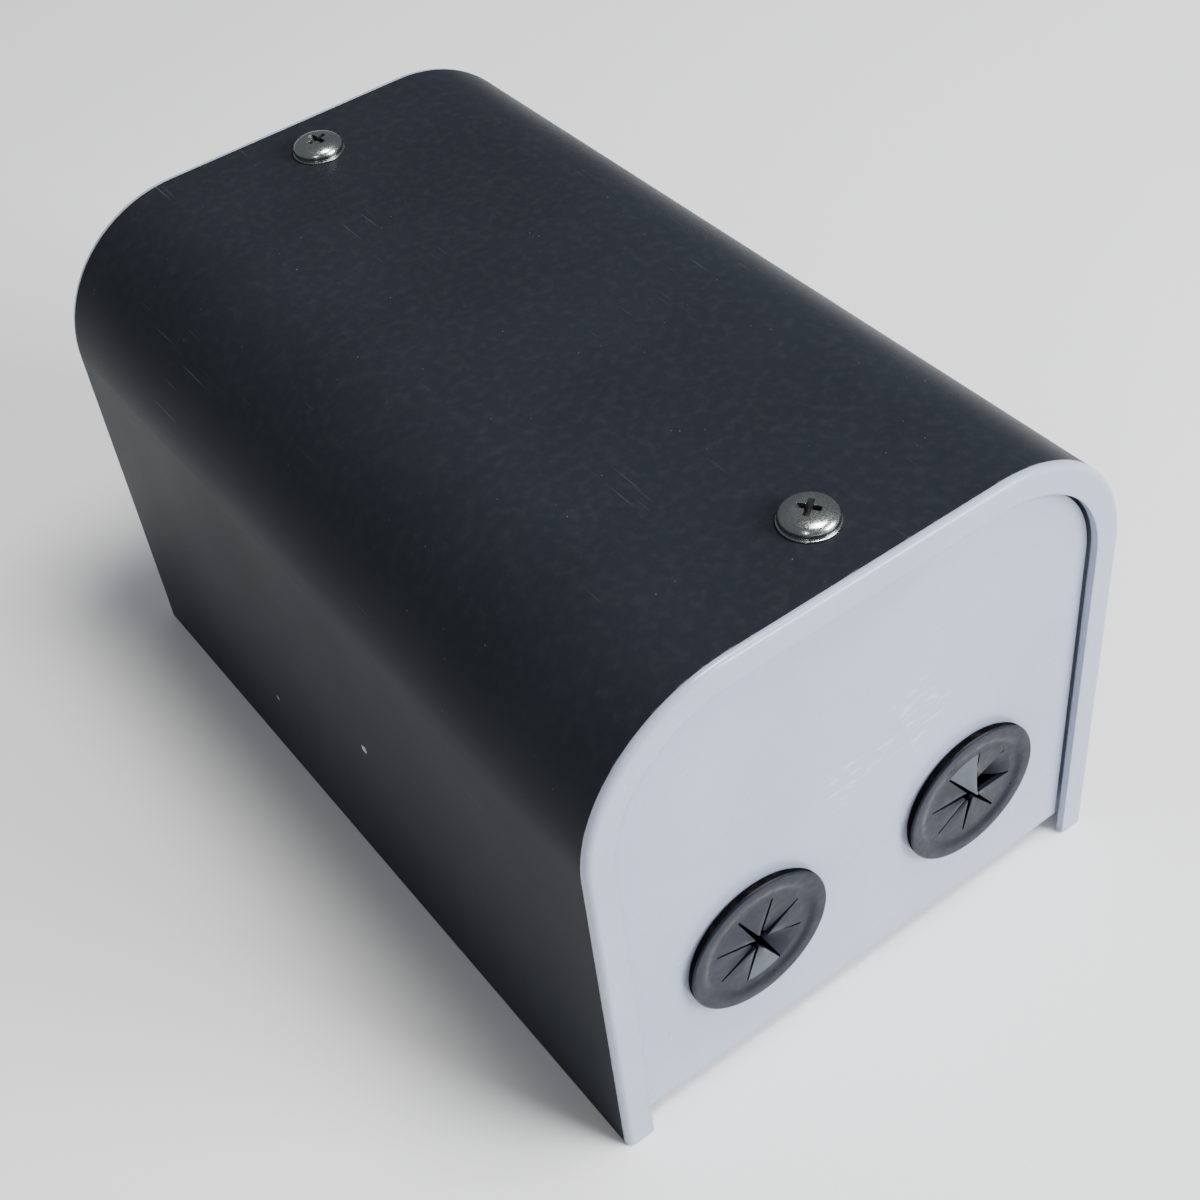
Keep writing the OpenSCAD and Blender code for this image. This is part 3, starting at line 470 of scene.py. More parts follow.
def lathe(bm, profile, segments=64, matrix=None, index=0):
    """Turns a profile of (radius, height) points about Z. A closed profile makes a ring."""
    rings = []
    for r, z in profile:
        if r < 1e-9:
            rings.append([bm.verts.new((0, 0, z))])
        else:
            turns = [2 * math.pi * i / segments for i in range(segments)]
            rings.append([bm.verts.new((r * math.cos(a), r * math.sin(a), z)) for a in turns])
    made = []
    for low, high in zip(rings, rings[1:]):
        for i in range(segments):
            j = (i + 1) % segments
            if len(low) == 1 and len(high) == 1:
                continue
            if len(low) == 1:
                loop = [low[0], high[j], high[i]]
            elif len(high) == 1:
                loop = [low[i], low[j], high[0]]
            else:
                loop = [low[i], low[j], high[j], high[i]]
            face = bm.faces.new(loop)
            face.material_index = index
            made.append(face)
    if matrix is not None:
        bmesh.ops.transform(bm, matrix=matrix, verts=[v for ring in rings for v in ring])
    return made


def tube(bm, path, radius, sides=10, index=0):
    """A round bar along a path of points, with closed ends."""
    points = [Vector(p) for p in path]
    rings = []
    up = Vector((0, 0, 1))
    for i, p in enumerate(points):
        d = (points[min(i + 1, len(points) - 1)] - points[max(i - 1, 0)]).normalized()
        side = d.cross(up)
        side = side.normalized() if side.length > 1e-6 else Vector((1, 0, 0))
        over = side.cross(d).normalized()
        turns = [2 * math.pi * k / sides for k in range(sides)]
        rings.append([bm.verts.new(p + radius * (side * math.cos(a) + over * math.sin(a))) for a in turns])
    for a, b in zip(rings, rings[1:]):
        for k in range(sides):
            bm.faces.new([a[k], a[(k + 1) % sides], b[(k + 1) % sides], b[k]]).material_index = index
    bm.faces.new(rings[0][::-1]).material_index = index
    bm.faces.new(rings[-1]).material_index = index


def ribbon(bm, points, width, low, high):
    """A flat strip with mitred corners, as a solid between two heights."""
    points = [Vector((x, y, 0)) for x, y in points]
    left, right = [], []
    for i, p in enumerate(points):
        before = (p - points[i - 1]).normalized() if i else (points[1] - p).normalized()
        after = (points[i + 1] - p).normalized() if i < len(points) - 1 else before
        middle = (before + after).normalized()
        mitre = max(0.3, middle.dot(before))
        side = Vector((-middle.y, middle.x, 0)) * (width / 2 / mitre)
        left.append(p + side)
        right.append(p - side)
    up = [[bm.verts.new((v.x, v.y, z)) for v in row] for row in (left, right) for z in (low, high)]
    ll, lh, rl, rh = up
    for i in range(len(points) - 1):
        bm.faces.new([lh[i], lh[i + 1], rh[i + 1], rh[i]])
        bm.faces.new([ll[i], rl[i], rl[i + 1], ll[i + 1]])
        bm.faces.new([ll[i], ll[i + 1], lh[i + 1], lh[i]])
        bm.faces.new([rl[i], rh[i], rh[i + 1], rl[i + 1]])
    bm.faces.new([ll[0], lh[0], rh[0], rl[0]])
    bm.faces.new([ll[-1], rl[-1], rh[-1], lh[-1]])


# ---------------------------------------------------------------- cable grommets

def grommet(node, turn, bends, chalky):
    """A rubber bush with a slit membrane. Each flap has its own bend, out (+) or in (-), and twist, in mm.

    One flap, whose number is given, is painted paler: a painted highlight where it catches the light."""
    low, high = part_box(node)
    cx, cz = (low.x + high.x) / 2, (low.z + high.z) / 2
    outer = (high.x - low.x) / 2 / MM
    deep = (high.y - low.y) / MM
    wall = 2.0                                      # from the flange's face to the wall it sits on
    neck, bore, lip = 12.9, 11.0, 14.0
    slit_r, eye, thick = 10.2, 1.9, 0.95
    face = -0.5                                     # the membrane lies behind the flange's rim
    edge_r = 0.55
    front = [(slit_r, face), (bore + 0.5, face), (bore + 1.0, face + 0.06), (bore + 1.5, face + 0.25),
             (bore + 2.0, face + 0.42), (bore + 2.7, face + 0.49)]
    edge = [(outer - edge_r + edge_r * math.sin(a), -edge_r + edge_r * math.cos(a))
            for a in [math.radians(x) for x in range(0, 91, 10)]]
    back = [(outer - 0.1, -1.35), (outer - 0.7, -wall), (neck, -wall), (neck, -3.6), (lip, -3.7),
            (lip, -4.4), (neck - 0.5, -deep + 0.4), (neck - 0.9, -deep), (bore, -deep), (bore, -1.8),
            (slit_r, face - thick), (slit_r, face)]
    profile = mm(front + edge + back)
    # The flange's side takes the near-black rubber as painted shade, from low on the rounded edge to where
    # the flange meets the wall.
    side_start = len(front) + len(edge) - 3         # the side is dark from low on the rounded edge
    side_end = len(front) + len(edge) + 1           # to where the flange meets the wall
    bm = bmesh.new()
    lathe(bm, profile[:side_start + 1], AROUND)
    lathe(bm, profile[side_start:side_end + 1], AROUND, index=1)
    lathe(bm, profile[side_end:], AROUND)
    bmesh.ops.remove_doubles(bm, verts=bm.verts, dist=1e-7)
    rows, fan = 12, 10
    for k, (bend, twist) in enumerate(bends):
        a0, a1 = math.radians(turn + 45 * k), math.radians(turn + 45 * (k + 1))
        grids = []
        for under in (0, 1):
            grid = []
            for i in range(rows + 1):
                t = i / rows
                r = slit_r + (eye - slit_r) * t
                da = (0.2 + 0.3 * t) / r
                row = []
                for j in range(fan + 1):
                    u = j / fan
                    a = (a0 + da) + (a1 - a0 - 2 * da) * u
                    lift = bend * t ** 1.5 + twist * (u - 0.5) * t ** 1.2
                    curl = 0.14 * (1 - (2 * u - 1) ** 2) * t * (1 if bend >= 0 else -1)
                    drawn = math.sqrt(max(0.0, 1 - (abs(bend) * t / (slit_r - eye)) ** 2))
                    rr = slit_r - (slit_r - r) * drawn
                    row.append(bm.verts.new((rr * math.cos(a) * MM, rr * math.sin(a) * MM,
                                             (face - under * thick + lift + curl) * MM)))
                grid.append(row)
            grids.append(grid)
        top, low_side = grids
        # The chosen flap takes the paler rubber: a painted highlight.
        tone = 2 if k == chalky else 0
        for i in range(rows):
            for j in range(fan):
                skin = bm.faces.new([top[i][j], top[i][j + 1], top[i + 1][j + 1], top[i + 1][j]])
                skin.material_index = tone
                bm.faces.new([low_side[i][j], low_side[i + 1][j], low_side[i + 1][j + 1], low_side[i][j + 1]])
            bm.faces.new([top[i][0], top[i + 1][0], low_side[i + 1][0], low_side[i][0]])
            bm.faces.new([top[i][fan], low_side[i][fan], low_side[i + 1][fan], top[i + 1][fan]])
        for j in range(fan):
            bm.faces.new([top[rows][j], top[rows][j + 1], low_side[rows][j + 1], low_side[rows][j]])
    stand = Matrix.Translation((cx, low.y, cz)) @ Matrix.Rotation(math.radians(90), 4, "X")
    obj = piece(node + "_rubber", bm, [MATERIALS["grommet_rubber"], SIDE_PAINTED_SHADE, PAINTED_HIGHLIGHT_RUBBER], "base",
                angle=50, matrix=stand)
    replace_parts(obj, node)


grommet("cable_grommet_left", -19, [(0.0, 0.3), (-0.3, -0.2), (0.1, 0.2), (0.2, -0.3), (-0.1, 0.2),
                                    (0.1, -0.2), (0.3, 1.0), (-2.4, 1.2)], chalky=6)
grommet("cable_grommet_right", -9, [(-4.6, -1.4), (-0.6, 0.5), (2.1, 0.7), (0.1, -0.3), (0.1, 0.2),
                                    (0.0, 0.3), (0.1, -0.2), (0.2, 0.4)], chalky=2)


# ---------------------------------------------------------------- cover screws

DOME_OUT, DOME_UP = 0.68, 0.86      # how full the head's dome is, sideways and upwards


def cross_recess(top, place):
    """An object with the shape of a cross recess, to cut from a head whose top is at this height."""
    bm = bmesh.new()
    floor = (1.1 * MM, 0.36 * MM, top - 1.75 * MM)      # half length, half width and height of a slot
    mouth = (2.5 * MM, 0.66 * MM, top + 0.4 * MM)
    corners = ((1, 1), (-1, 1), (-1, -1), (1, -1))
    for quarter in (0, 90):
        low, high = [[bm.verts.new((sx * length, sy * width, z)) for sx, sy in corners]
                     for length, width, z in (floor, mouth)]
        bm.faces.new(low[::-1])
        bm.faces.new(high)
        for i in range(4):
            j = (i + 1) % 4
            bm.faces.new([low[i], low[j], high[j], high[i]])
        if quarter:
            bmesh.ops.rotate(bm, verts=low + high, cent=(0, 0, 0),
                             matrix=Matrix.Rotation(math.radians(quarter), 3, "Z"))
    bm.transform(place)
    bmesh.ops.recalc_face_normals(bm, faces=bm.faces)
    data = bpy.data.meshes.new("recess")
    bm.to_mesh(data)
    bm.free()
    tool = bpy.data.objects.new("recess", data)
    bpy.context.scene.collection.objects.link(tool)
    return tool


def screw_head(node, body, place, head_r, head_h, turn):
    """A domed head with a cross recess, painted dark inside as shade."""
    side = 0.2 * head_h
    bm = bmesh.new()
    dome = [(0.0, 0.0), (head_r - 0.2 * MM, 0.0), (head_r - 0.03 * MM, 0.2 * MM), (head_r, side)]
    for a in range(8, 91, 6):
        t = math.radians(a)
        dome.append((head_r * math.cos(t) ** DOME_OUT, side + (head_h - side) * math.sin(t) ** DOME_UP))
    dome[-1] = (0.0, head_h)
    lathe(bm, dome, 72)
    bmesh.ops.remove_doubles(bm, verts=bm.verts, dist=1e-7)
    head = piece(node + "_head", bm, [MATERIALS["zinc_steel"], RECESS_PAINTED_SHADE], body, angle=40,
                 matrix=place)
    tool = cross_recess(head_h, place @ Matrix.Rotation(math.radians(turn), 4, "Z"))
    cut = head.modifiers.new("cut", "BOOLEAN")
    cut.operation, cut.solver, cut.object, cut.use_self = "DIFFERENCE", "EXACT", tool, True
    bpy.context.view_layer.update()
    done = bpy.data.meshes.new_from_object(head.evaluated_get(bpy.context.evaluated_depsgraph_get()))
    head.modifiers.clear()
    head.data = done
    done.set_sharp_from_angle(angle=math.radians(40))
    bpy.data.objects.remove(tool)
    # Faces sunk in the cross recess take the dark metal: painted shade.
    centre = place.translation
    for f in done.polygons:
        out = math.hypot(f.center.x - centre.x, f.center.y - centre.y)
        z = f.center.z - centre.z
        rise = (1 - min(1.0, out / head_r) ** (2 / DOME_OUT)) ** (DOME_UP / 2)
        sunk = z < side + (head_h - side) * rise - 0.12 * MM
        f.material_index = int(out < 2.8 * MM and sunk and z > 0.1 * MM)
    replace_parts(head, node)


def screw_thread(node, body, place, length):
    """An M5 thread of 0.8 mm pitch that runs out under the head, with a chamfered end."""
    pitch, r, depth, chamfer = 0.8 * MM, 2.47 * MM, 0.36 * MM, 0.2 * MM
    around, along = 24, int(length / pitch * 8)
    turns = [2 * math.pi * k / around for k in range(around)]
    bm = bmesh.new()
    rings = []
    for i in range(along + 1):
        z = -length * i / along
        to_end = (along - i) / 8
        fade = min(1.0, i / 10) * min(1.0, to_end + 0.35)
        ring = []
        for k, a in enumerate(turns):
            bite = 1 - abs(2 * ((z / pitch + k / around) % 1.0) - 1)
            rr = r - depth * bite * fade - chamfer * (1 - min(1.0, to_end))
            ring.append(bm.verts.new((rr * math.cos(a), rr * math.sin(a), z)))
        rings.append(ring)
    for a, b in zip(rings, rings[1:]):
        for k in range(around):
            bm.faces.new([a[k], a[(k + 1) % around], b[(k + 1) % around], b[k]])
    bm.faces.new(rings[-1])
    piece(node + "_thread", bm, MATERIALS["zinc_steel"], body, angle=30, matrix=place)


def washer_ring(node, body):
    """A washer with its stamped edge."""
    low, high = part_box(node)
    t, out_r, in_r = high.z - low.z, (high.x - low.x) / 2, 2.6 * MM
    ring = [(in_r, 0.0), (out_r - 0.08 * MM, 0.0), (out_r, 0.1 * MM), (out_r, t - 0.16 * MM),
            (out_r - 0.05 * MM, t - 0.06 * MM), (out_r - 0.16 * MM, t), (in_r, t), (in_r, 0.0)]
    bm = bmesh.new()
    lathe(bm, ring, 72)
    bmesh.ops.remove_doubles(bm, verts=bm.verts, dist=1e-7)
    place = Matrix.Translation(((low.x + high.x) / 2, (low.y + high.y) / 2, low.z))
    obj = piece(node + "_ring", bm, MATERIALS["zinc_steel"], body, angle=30, matrix=place)
    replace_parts(obj, node)


def cover_screw(node, washer, body, turn):
    low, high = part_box(node)
    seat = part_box(washer)[1].z
    place = Matrix.Translation(((low.x + high.x) / 2, (low.y + high.y) / 2, seat))
    screw_head(node, body, place, (high.x - low.x) / 2, high.z - seat, turn)
    screw_thread(node, body, place, seat - low.z)
    washer_ring(washer, body)


cover_screw("cover_screw_front", "cover_washer_front", "front_screw", 35)
cover_screw("cover_screw_rear", "cover_washer_rear", "rear_screw", 12)


# ---------------------------------------------------------------- on the board

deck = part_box("circuit_board")[1].z
LEAD_END = -0.6             # leads go this far into the board, in millimetres


def on_board(x, y, turn=0):
    """The place of a part on the board, in millimetres and degrees."""
    return Matrix.Translation((x * MM, y * MM, deck)) @ Matrix.Rotation(math.radians(turn), 4, "Z")


def capacitor(name, x, y, r, h):
    """A can in a shrunk sleeve, with a bead near its foot, a scored top and a pale stripe."""
    r, h = r * MM, h * MM
    bm = bmesh.new()
    side = [(0.0, 0.0), (r - 1.2 * MM, 0.0), (r - 0.4 * MM, 0.15 * MM), (r, 0.7 * MM), (r, 2.2 * MM),
            (r - 0.3 * MM, 2.6 * MM), (r - 0.62 * MM, 3.0 * MM), (r - 0.3 * MM, 3.4 * MM), (r, 3.8 * MM),
            (r, h - 1.2 * MM), (r - 0.15 * MM, h - 0.6 * MM), (r - 0.5 * MM, h - 0.2 * MM),
            (r - 1.0 * MM, h - 0.05 * MM), (r - 1.5 * MM, h - 0.12 * MM)]
    lathe(bm, side, 72)
    top = [(r - 1.5 * MM, h - 0.12 * MM), (r - 1.9 * MM, h - 0.45 * MM), (r * 0.5, h - 0.42 * MM),
           (0.0, h - 0.4 * MM)]
    lathe(bm, top, 72, index=1)
    bmesh.ops.remove_doubles(bm, verts=bm.verts, dist=1e-7)
    for f in bm.faces:
        c = f.calc_center_median()
        if 4 * MM < c.z < h - 1.3 * MM and abs(math.atan2(c.y, c.x) - math.radians(-30)) < 0.28:
            f.material_index = 2
    for k in range(3):
        a = math.radians(90 + 120 * k)
        d = Vector((math.cos(a), math.sin(a), 0))
        n = Vector((-d.y, d.x, 0)) * 0.22 * MM
        near = Vector((0, 0, h - 0.36 * MM))
        far = near + d * (r * 0.62)
        corners = [near + n, near - n, far - n, far + n]
        up = [bm.verts.new(c) for c in corners]
        down = [bm.verts.new(c - Vector((0, 0, 0.1 * MM))) for c in corners]
        bm.faces.new(up).material_index = 0
        for i in range(4):
            bm.faces.new([up[i], down[i], down[(i + 1) % 4], up[(i + 1) % 4]]).material_index = 0
    return piece(name, bm, [MATERIALS["sleeve"], CAN_TOP, STRIPE], "base", angle=30,
                 matrix=on_board(x, y))


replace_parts(capacitor("capacitor_large", -33, -13, 8, 25), "smoothing_capacitors")
capacitor("capacitor_small", -37, 6, 5, 16)


def solder_joint(bm, x, y, r=0.85):
    """A tinned pad with a small cone of solder."""
    pad = [(0.0, 0.0), (r, 0.0), (r, 0.05), (r * 0.8, 0.1), (r * 0.55, 0.28), (r * 0.42, 0.5),
           (r * 0.3, 0.62), (0.0, 0.66)]
    lathe(bm, mm(pad), 18, on_board(x, y))


def resistor(name, x, y, along, codes, pitch, body, r):
    """A dumb-bell shaped body with colour rings, on two bent leads."""
    lift = r + 0.35
    bm = bmesh.new()
    end = body / 2
    shape = [(0.0, -end), (0.5 * r, -end), (0.9 * r, -end + 0.2), (r, -end + 0.55), (r, -end + 1.25),
             (0.86 * r, -end + 1.7), (0.86 * r, end - 1.7), (r, end - 1.25), (r, end - 0.55),
             (0.9 * r, end - 0.2), (0.5 * r, end), (0.0, end)]
    lathe(bm, mm(shape), 24)
    for k, code in enumerate(codes):
        at = (-end + 0.9, -0.7, 0.35, end - 0.9)[k]
        rr = (1.015 if k in (0, 3) else 0.88) * r
        band = [(rr - 0.05, at - 0.26), (rr + 0.02, at - 0.22), (rr + 0.02, at + 0.22),
                (rr - 0.05, at + 0.26)]
        lathe(bm, mm(band), 24, index=2 + code)
    bmesh.ops.rotate(bm, verts=bm.verts, cent=(0, 0, 0), matrix=Matrix.Rotation(math.radians(90), 3, "Y"))
    bmesh.ops.translate(bm, verts=bm.verts, vec=(0, 0, lift * MM))
    for sx in (-1, 1):
        half, bend = pitch / 2, 0.7
        path = [(sx * (end - 0.3), 0, lift), (sx * (half - bend), 0, lift),
                (sx * (half - 0.2), 0, lift - 0.2), (sx * half, 0, lift - bend), (sx * half, 0, LEAD_END)]
        tube(bm, mm(path), 0.3 * MM, 8, index=1)
    piece(name, bm, [RESISTOR, LEAD] + BANDS, "base", matrix=on_board(x, y, 90 if along == "Y" else 0))


small = [("resistor_1", -5, -22.5, "Y"), ("resistor_2", 0, -22.5, "Y"), ("resistor_3", 5, -22.5, "Y"),
         ("resistor_4", 14, -22.5, "Y"), ("resistor_5", 19, -22.5, "Y"), ("resistor_6", 24, -22.5, "Y"),
         ("resistor_7", 4, -3.5, "X"), ("resistor_8", 4, 0.0, "X"), ("resistor_9", 17, -3.5, "X"),
         ("resistor_10", 31, -25.6, "X")]
joints_at = []
for i, (name, x, y, along) in enumerate(small):
    pitch, size, r = (8.6, 4.6, 0.95) if along == "Y" else (10.0, 6.2, 1.15)
    codes = [(i * 7 + k * 3) % 3 for k in range(3)] + [3]
    resistor(name, x, y, along, codes, pitch, size, r)
    for sign in (-1, 1):
        joints_at.append((x + sign * pitch / 2 * (along == "X"), y + sign * pitch / 2 * (along == "Y")))


def diode(name, x, y, along):
    """A black cylinder with a pale ring at one end, on two bent leads."""
    bm = bmesh.new()
    r, end = 1.35, 2.5
    lift = r + 0.2
    shape = [(0.0, -end), (r - 0.2, -end), (r, -end + 0.2), (r, end - 0.2), (r - 0.2, end), (0.0, end)]
    lathe(bm, mm(shape), 32)
    lathe(bm, mm([(r - 0.05, 1.2), (r + 0.02, 1.22), (r + 0.02, 1.98), (r - 0.05, 2.0)]), 32, index=2)
    bmesh.ops.rotate(bm, verts=bm.verts, cent=(0, 0, 0), matrix=Matrix.Rotation(math.radians(90), 3, "Y"))
    bmesh.ops.translate(bm, verts=bm.verts, vec=(0, 0, lift * MM))
    for sx in (-1, 1):
        path = [(sx * 2.3, 0, lift), (sx * 4.3, 0, lift), (sx * 4.8, 0, lift - 0.2), (sx * 5, 0, lift - 0.7),
                (sx * 5, 0, LEAD_END)]
        tube(bm, mm(path), 0.4 * MM, 8, index=1)
        joints_at.append((x + sx * 5 * (along == "X"), y + sx * 5 * (along == "Y")))
    piece(name, bm, [MATERIALS["chip_epoxy"], LEAD, LEGEND], "base",
          matrix=on_board(x, y, 90 if along == "Y" else 0))


diode("diode_1", 39.6, -37, "Y")
diode("diode_2", -22.5, 25.0, "X")
diode("diode_3", -22.5, 29.5, "X")


def disc_capacitor(name, x, y, turn, r=2.3):
    """A dipped disc standing on two splayed leads."""
    bm = bmesh.new()
    shape = [(0.0, -1.0), (r * 0.5, -1.0), (r * 0.8, -0.85), (r * 0.96, -0.5), (r, 0.0), (r * 0.96, 0.5),
             (r * 0.8, 0.85), (r * 0.5, 1.0), (0.0, 1.0)]
    lathe(bm, mm(shape), 40)
    bmesh.ops.rotate(bm, verts=bm.verts, cent=(0, 0, 0), matrix=Matrix.Rotation(math.radians(90), 3, "X"))
    bmesh.ops.translate(bm, verts=bm.verts, vec=(0, 0, (r + 1.4) * MM))
    for sx in (-1, 1):
        path = [(sx * 1.5, 0, r * 0.7 + 0.6), (sx * 1.8, 0, 1.2), (sx * 2.5, 0, 0.8),
                (sx * 2.54, 0, LEAD_END)]
        tube(bm, mm(path), 0.25 * MM, 8, index=1)
        c, s = math.cos(math.radians(turn)), math.sin(math.radians(turn))
        joints_at.append((x + sx * 2.54 * c, y + sx * 2.54 * s))
    piece(name, bm, [CERAMIC, LEAD], "base", matrix=on_board(x, y, turn))


disc_capacitor("disc_1", -17.5, -20, 0)
disc_capacitor("disc_2", -17.5, -6.5, 0)
disc_capacitor("disc_3", 30.5, -2.5, 90)
disc_capacitor("disc_4", 31.0, 16, 0, 2.9)


def transistor(name, x, y):
    """A half-round body on three legs."""
    bm = bmesh.new()
    outline = [(-1.9, -1.0)] + [(2.35 * math.sin(math.radians(a)), 0.2 + 2.35 * math.cos(math.radians(a)))
                               for a in range(-118, 119, 12)] + [(1.9, -1.0)]
    face = bm.faces.new([bm.verts.new((a * MM, b * MM, 2.2 * MM)) for a, b in outline])
    up = bmesh.ops.extrude_face_region(bm, geom=[face])["geom"]
    bmesh.ops.translate(bm, verts=[v for v in up if isinstance(v, bmesh.types.BMVert)], vec=(0, 0, 4.6 * MM))
    rims = [e for e in bm.edges if abs(e.verts[0].co.z - e.verts[1].co.z) < 1e-7]
    bmesh.ops.bevel(bm, geom=rims, offset=0.15 * MM, segments=2, affect="EDGES")
    for sx in (-1, 0, 1):
        tube(bm, mm([(sx * 1.27, 0, 2.3), (sx * 1.27, 0, LEAD_END)]), 0.24 * MM, 6, index=1)
        joints_at.append((x + sx * 1.27, y))
    piece(name, bm, [MATERIALS["chip_epoxy"], LEAD], "base", matrix=on_board(x, y))


transistor("transistor_1", 8, 17.5)
transistor("transistor_2", 15, 17.5)
transistor("transistor_3", 22, 17.5)

# solder joints at every lead, each leg of the rectifier, regulator and relays, and some free vias
bm = bmesh.new()
for x, y in joints_at:
    solder_joint(bm, x, y, 0.6)
for i in range(4):
    solder_joint(bm, -38, 34 + (i - 1.5) * 3.8)
for x in (-19.54, -17, -14.46):
    solder_joint(bm, x, 4.8)
for y in (-21, -12):
    solder_joint(bm, 40.6, y, 0.6)
vias = [(-40, 20), (-34, 20), (-28, 23), (-12, 24), (-6, 22), (2, 24), (10, 23), (18, 24), (26, 23), (34, 22),
        (39, 26), (39, 34), (-29, -25), (-22, -27), (-12, -27), (10, -26), (29, -23), (41, -4), (41, 16),
        (-6, 66), (8, 67), (20, 66), (-20, 67), (30, 60), (-31, 62), (37, 50), (-38, 50)]
for x, y in vias:
    solder_joint(bm, x, y, 0.45)
piece("solder_joints", bm, SOLDER, "base", angle=60)

# raised tracks: width, then the corners of the route, in millimetres
routes = [
    (2.4, [(-34, -46), (-34, -42), (-31, -38.5), (-31, -31), (-29, -25)]),
    (2.4, [(-26, -46), (-26, -41), (-19, -38), (-19, -31), (-12, -27)]),
    (2.4, [(-18, -46), (-18, -44), (-13, -40), (-13, -34), (-12, -27)]),
    (2.0, [(-7, -46), (-7, -27.5), (-5, -26.8)]),
    (2.0, [(11.5, -46), (13.6, -44), (13.6, -30), (14, -26.8)]),
    (2.0, [(33.5, -46), (37.2, -43), (39.6, -42)]),
    (0.8, [(39.6, -32), (39.6, -26), (40.6, -21)]),
    (0.8, [(-5, -18.2), (-5, -17), (-12, -10), (-15, -6.5)]),
    (0.8, [(0, -18.2), (0, -8), (-1, -3.5)]),
    (0.8, [(5, -18.2), (5, -7.6), (9, -3.5)]),
    (0.8, [(14, -18.2), (14, -7.6), (12, -3.5)]),
    (0.8, [(19, -18.2), (19, -8), (22, -3.5)]),
    (0.8, [(24, -18.2), (27.5, -15), (27.5, -6), (30.5, -5)]),
    (0.8, [(24, -26.8), (26, -25.6)]),
    (0.8, [(36, -25.6), (40.6, -23), (40.6, -21)]),
    (0.8, [(30.5, 0), (30.5, 3), (33, 6)]),
    (0.8, [(40.6, -12), (41, -4), (41, 12), (41, 16)]),
    (0.8, [(9, 0), (9, 4.7)]),
    (0.8, [(22, -3.5), (24, -1.5), (24, 3.3)]),
    (1.6, [(-37, 12), (-40, 16), (-40, 20), (-38, 28.3)]),
    (2.4, [(-38, 39.7), (-38, 50), (-31, 57), (-31, 62)]),
    (2.4, [(-27.5, 25), (-28, 23), (-34, 20), (-34, 12)]),
    (1.6, [(-17.5, 25), (-12, 24), (-6, 22), (0, 17.5), (6.7, 17.5)]),
    (1.6, [(-17.5, 29.5), (-11, 27), (2, 24), (8, 20.5), (8, 17.5)]),
    (0.8, [(9.3, 17.5), (11.5, 20), (10, 23)]),
    (0.8, [(16.3, 17.5), (18, 20), (18, 24)]),
    (0.8, [(23.3, 17.5), (26, 20), (26, 23)]),
    (0.8, [(33.5, 16), (37, 13), (37, 11)]),
    (0.8, [(28.5, 16), (25, 13), (24, 12.8)]),
    (3.0, [(39, 26), (39, 34), (37, 50), (30, 60), (20, 66), (8, 67), (-6, 66), (-20, 67), (-31, 62)]),
    (1.6, [(34, 22), (39, 26)]),
    (1.2, [(2, 24), (10, 23), (18, 24), (26, 23), (34, 22)]),
]
bm = bmesh.new()
for width, route in routes:
    ribbon(bm, mm(route), width * MM, deck - 0.02 * MM, deck + 0.035 * MM)
piece("board_tracks", bm, TRACK, "base", smooth=False)

# printed outlines round the parts, and small polarity marks
bm = bmesh.new()


def outline(x0, y0, x1, y1, wide=0.2):
    corners = [(x0, y0), (x1, y0), (x1, y1), (x0, y1)]
    for i in range(4):
        ribbon(bm, mm([corners[i], corners[(i + 1) % 4]]), wide * MM, deck - 0.01 * MM, deck + BOARD_TEXT)


for node_name, grow in (("relays", 0.7), ("timing_chip", 1.2), ("switch_block", 0.7), ("trimmer_body", 0.7),
                        ("test_button_body", 0.7), ("rectifier", 0.9), ("heat_sink", 0.7),
                        ("clock_crystal", 0.7), ("supply_terminals", 0.6), ("lamp_terminals", 0.6)):
    a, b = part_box(node_name)
    outline(a.x / MM - grow, a.y / MM - grow, b.x / MM + grow, b.y / MM + grow)
for name, x, y, along in small:
    w, h = (6.6, 2.9) if along == "X" else (2.5, 5.0)
    outline(x - w / 2, y - h / 2, x + w / 2, y + h / 2, 0.16)
for x, y in ((-33, -3.6), (-30.6, 8.5)):
    ribbon(bm, mm([(x - 0.9, y), (x + 0.9, y)]), 0.3 * MM, deck - 0.01 * MM, deck + BOARD_TEXT)
    ribbon(bm, mm([(x, y - 0.9), (x, y + 0.9)]), 0.3 * MM, deck - 0.01 * MM, deck + 0.9 * BOARD_TEXT)
piece("board_legend", bm, LEGEND, "base", smooth=False)

# the thin wire inside the fuse
a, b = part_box("fuse_glass")
middle = (a + b) / 2
bm = bmesh.new()
coil = 0.12 * MM
tube(bm, [(a.x + (b.x - a.x) * i / 24, middle.y + coil * math.sin(i * 1.3),
           middle.z + coil * math.cos(i * 1.3)) for i in range(25)], coil, 8)
piece("fuse_wire", bm, LEAD, "fuse")


# ---------------------------------------------------------------- setting, light and camera

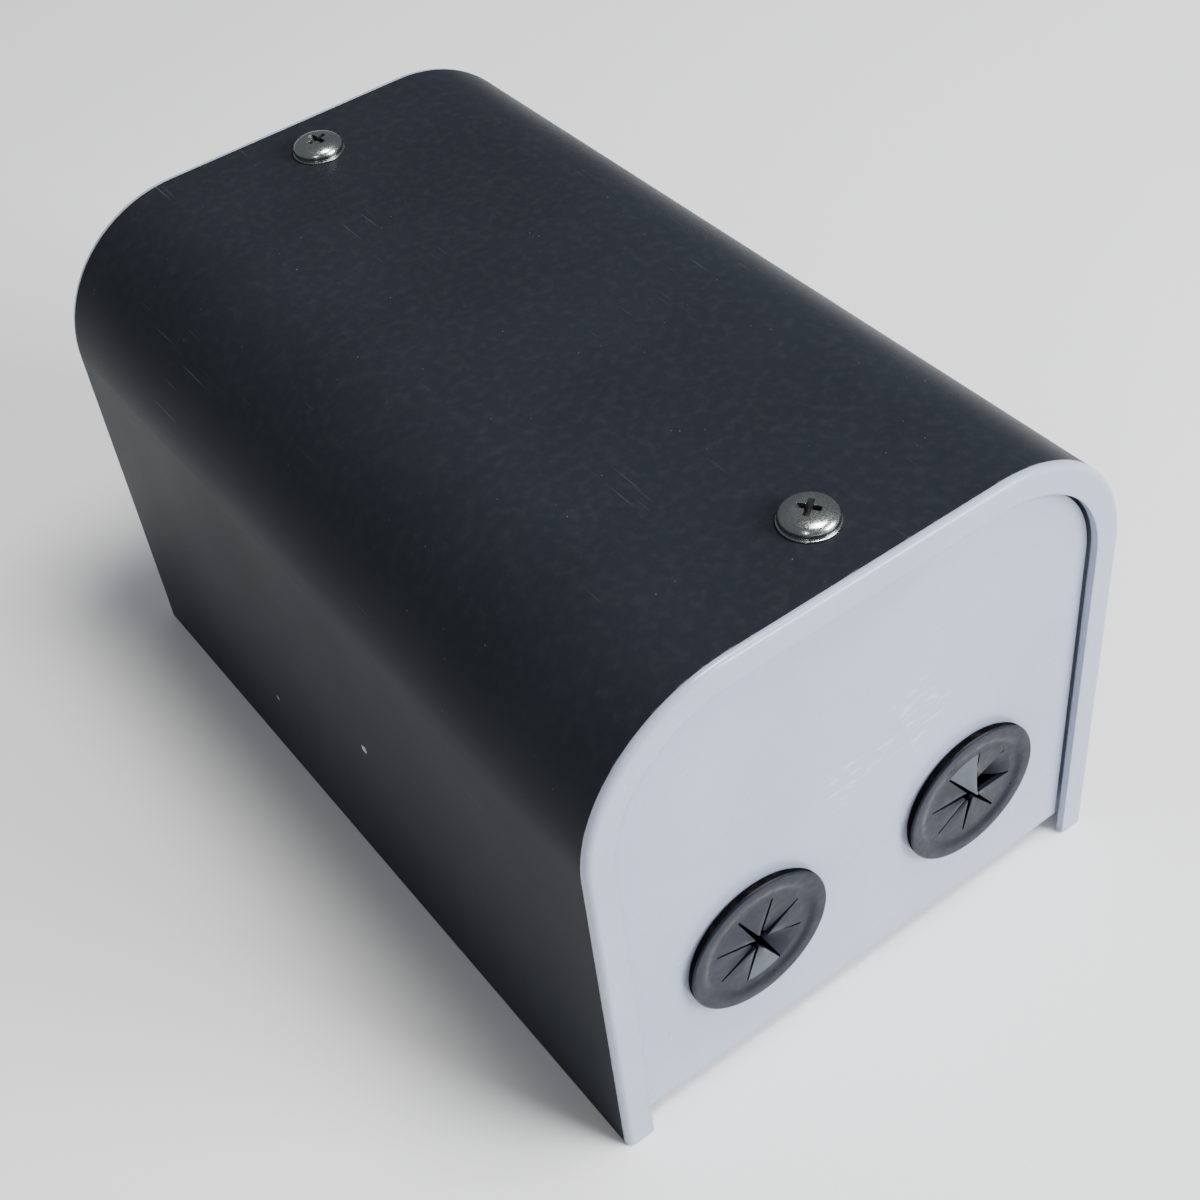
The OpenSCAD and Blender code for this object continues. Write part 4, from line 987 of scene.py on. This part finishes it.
bm = bmesh.new()
lathe(bm, [(0.0, 0.0), (1.5, 0.0), (4.0, 0.0), (9.0, 0.0)], 96)
for f in bm.faces:
    f.smooth = True
floor_mesh = bpy.data.meshes.new("floor")
bm.to_mesh(floor_mesh)
bm.free()
floor = bpy.data.objects.new("floor", floor_mesh)
card = Shade("floor_card", 0.7)
card.colour(card.blend(card.noise(0.4, 2), tint(srgb("fdfdfd"), 0.985), srgb("fdfdfd")))
floor_mesh.materials.append(card.mat)
bpy.context.scene.collection.objects.link(floor)


def panel(name, at, aim, size, power, colour=(1, 1, 1)):
    light = bpy.data.lights.new(name, "AREA")
    light.shape = "RECTANGLE"
    light.size, light.size_y = size
    light.energy = power
    light.color = colour
    obj = bpy.data.objects.new(name, light)
    obj.location = at
    obj.rotation_mode = "QUATERNION"
    obj.rotation_quaternion = (Vector(aim) - Vector(at)).to_track_quat("-Z", "Y")
    bpy.context.scene.collection.objects.link(obj)


panel("key", (0.75, -1.15, 0.7), (0.0, 0.0, 0.05), (0.75, 0.65), 34.0, (0.94, 0.97, 1.0))
panel("over", (0.3, -0.35, 1.4), (0.0, 0.0, 0.05), (0.5, 0.5), 24.0, (1.0, 0.99, 0.97))
panel("edge", (-0.8, -0.75, 0.75), (0.0, -0.05, 0.08), (0.07, 0.4), 1.8, (1.0, 1.0, 1.0))

world = bpy.data.worlds.new("room")
bpy.context.scene.world = world
world.use_nodes = True
world.node_tree.nodes["Background"].inputs["Color"].default_value = (0.84, 0.88, 0.94, 1.0)
world.node_tree.nodes["Background"].inputs["Strength"].default_value = 0.2

# The camera stands where the outline, the grommets and the screws look as they should. Its axes are
# given as directions in the shared frame.
camera = bpy.data.objects.new("camera", bpy.data.cameras.new("camera"))
camera.data.sensor_width = 36.0
camera.data.lens = 56.12
camera.data.clip_start, camera.data.clip_end = 0.01, 50.0
right = Vector((0.80039, -0.59207, -0.09395)).normalized()
back = -Vector((0.37072, 0.61201, -0.69858)).normalized()
up = back.cross(right).normalized()
right = up.cross(back).normalized()
place = Matrix((right, up, back)).transposed().to_4x4()
place.translation = Vector((-0.14603, -0.25239, 0.31857))
camera.matrix_world = place
bpy.context.scene.collection.objects.link(camera)
bpy.context.scene.camera = camera
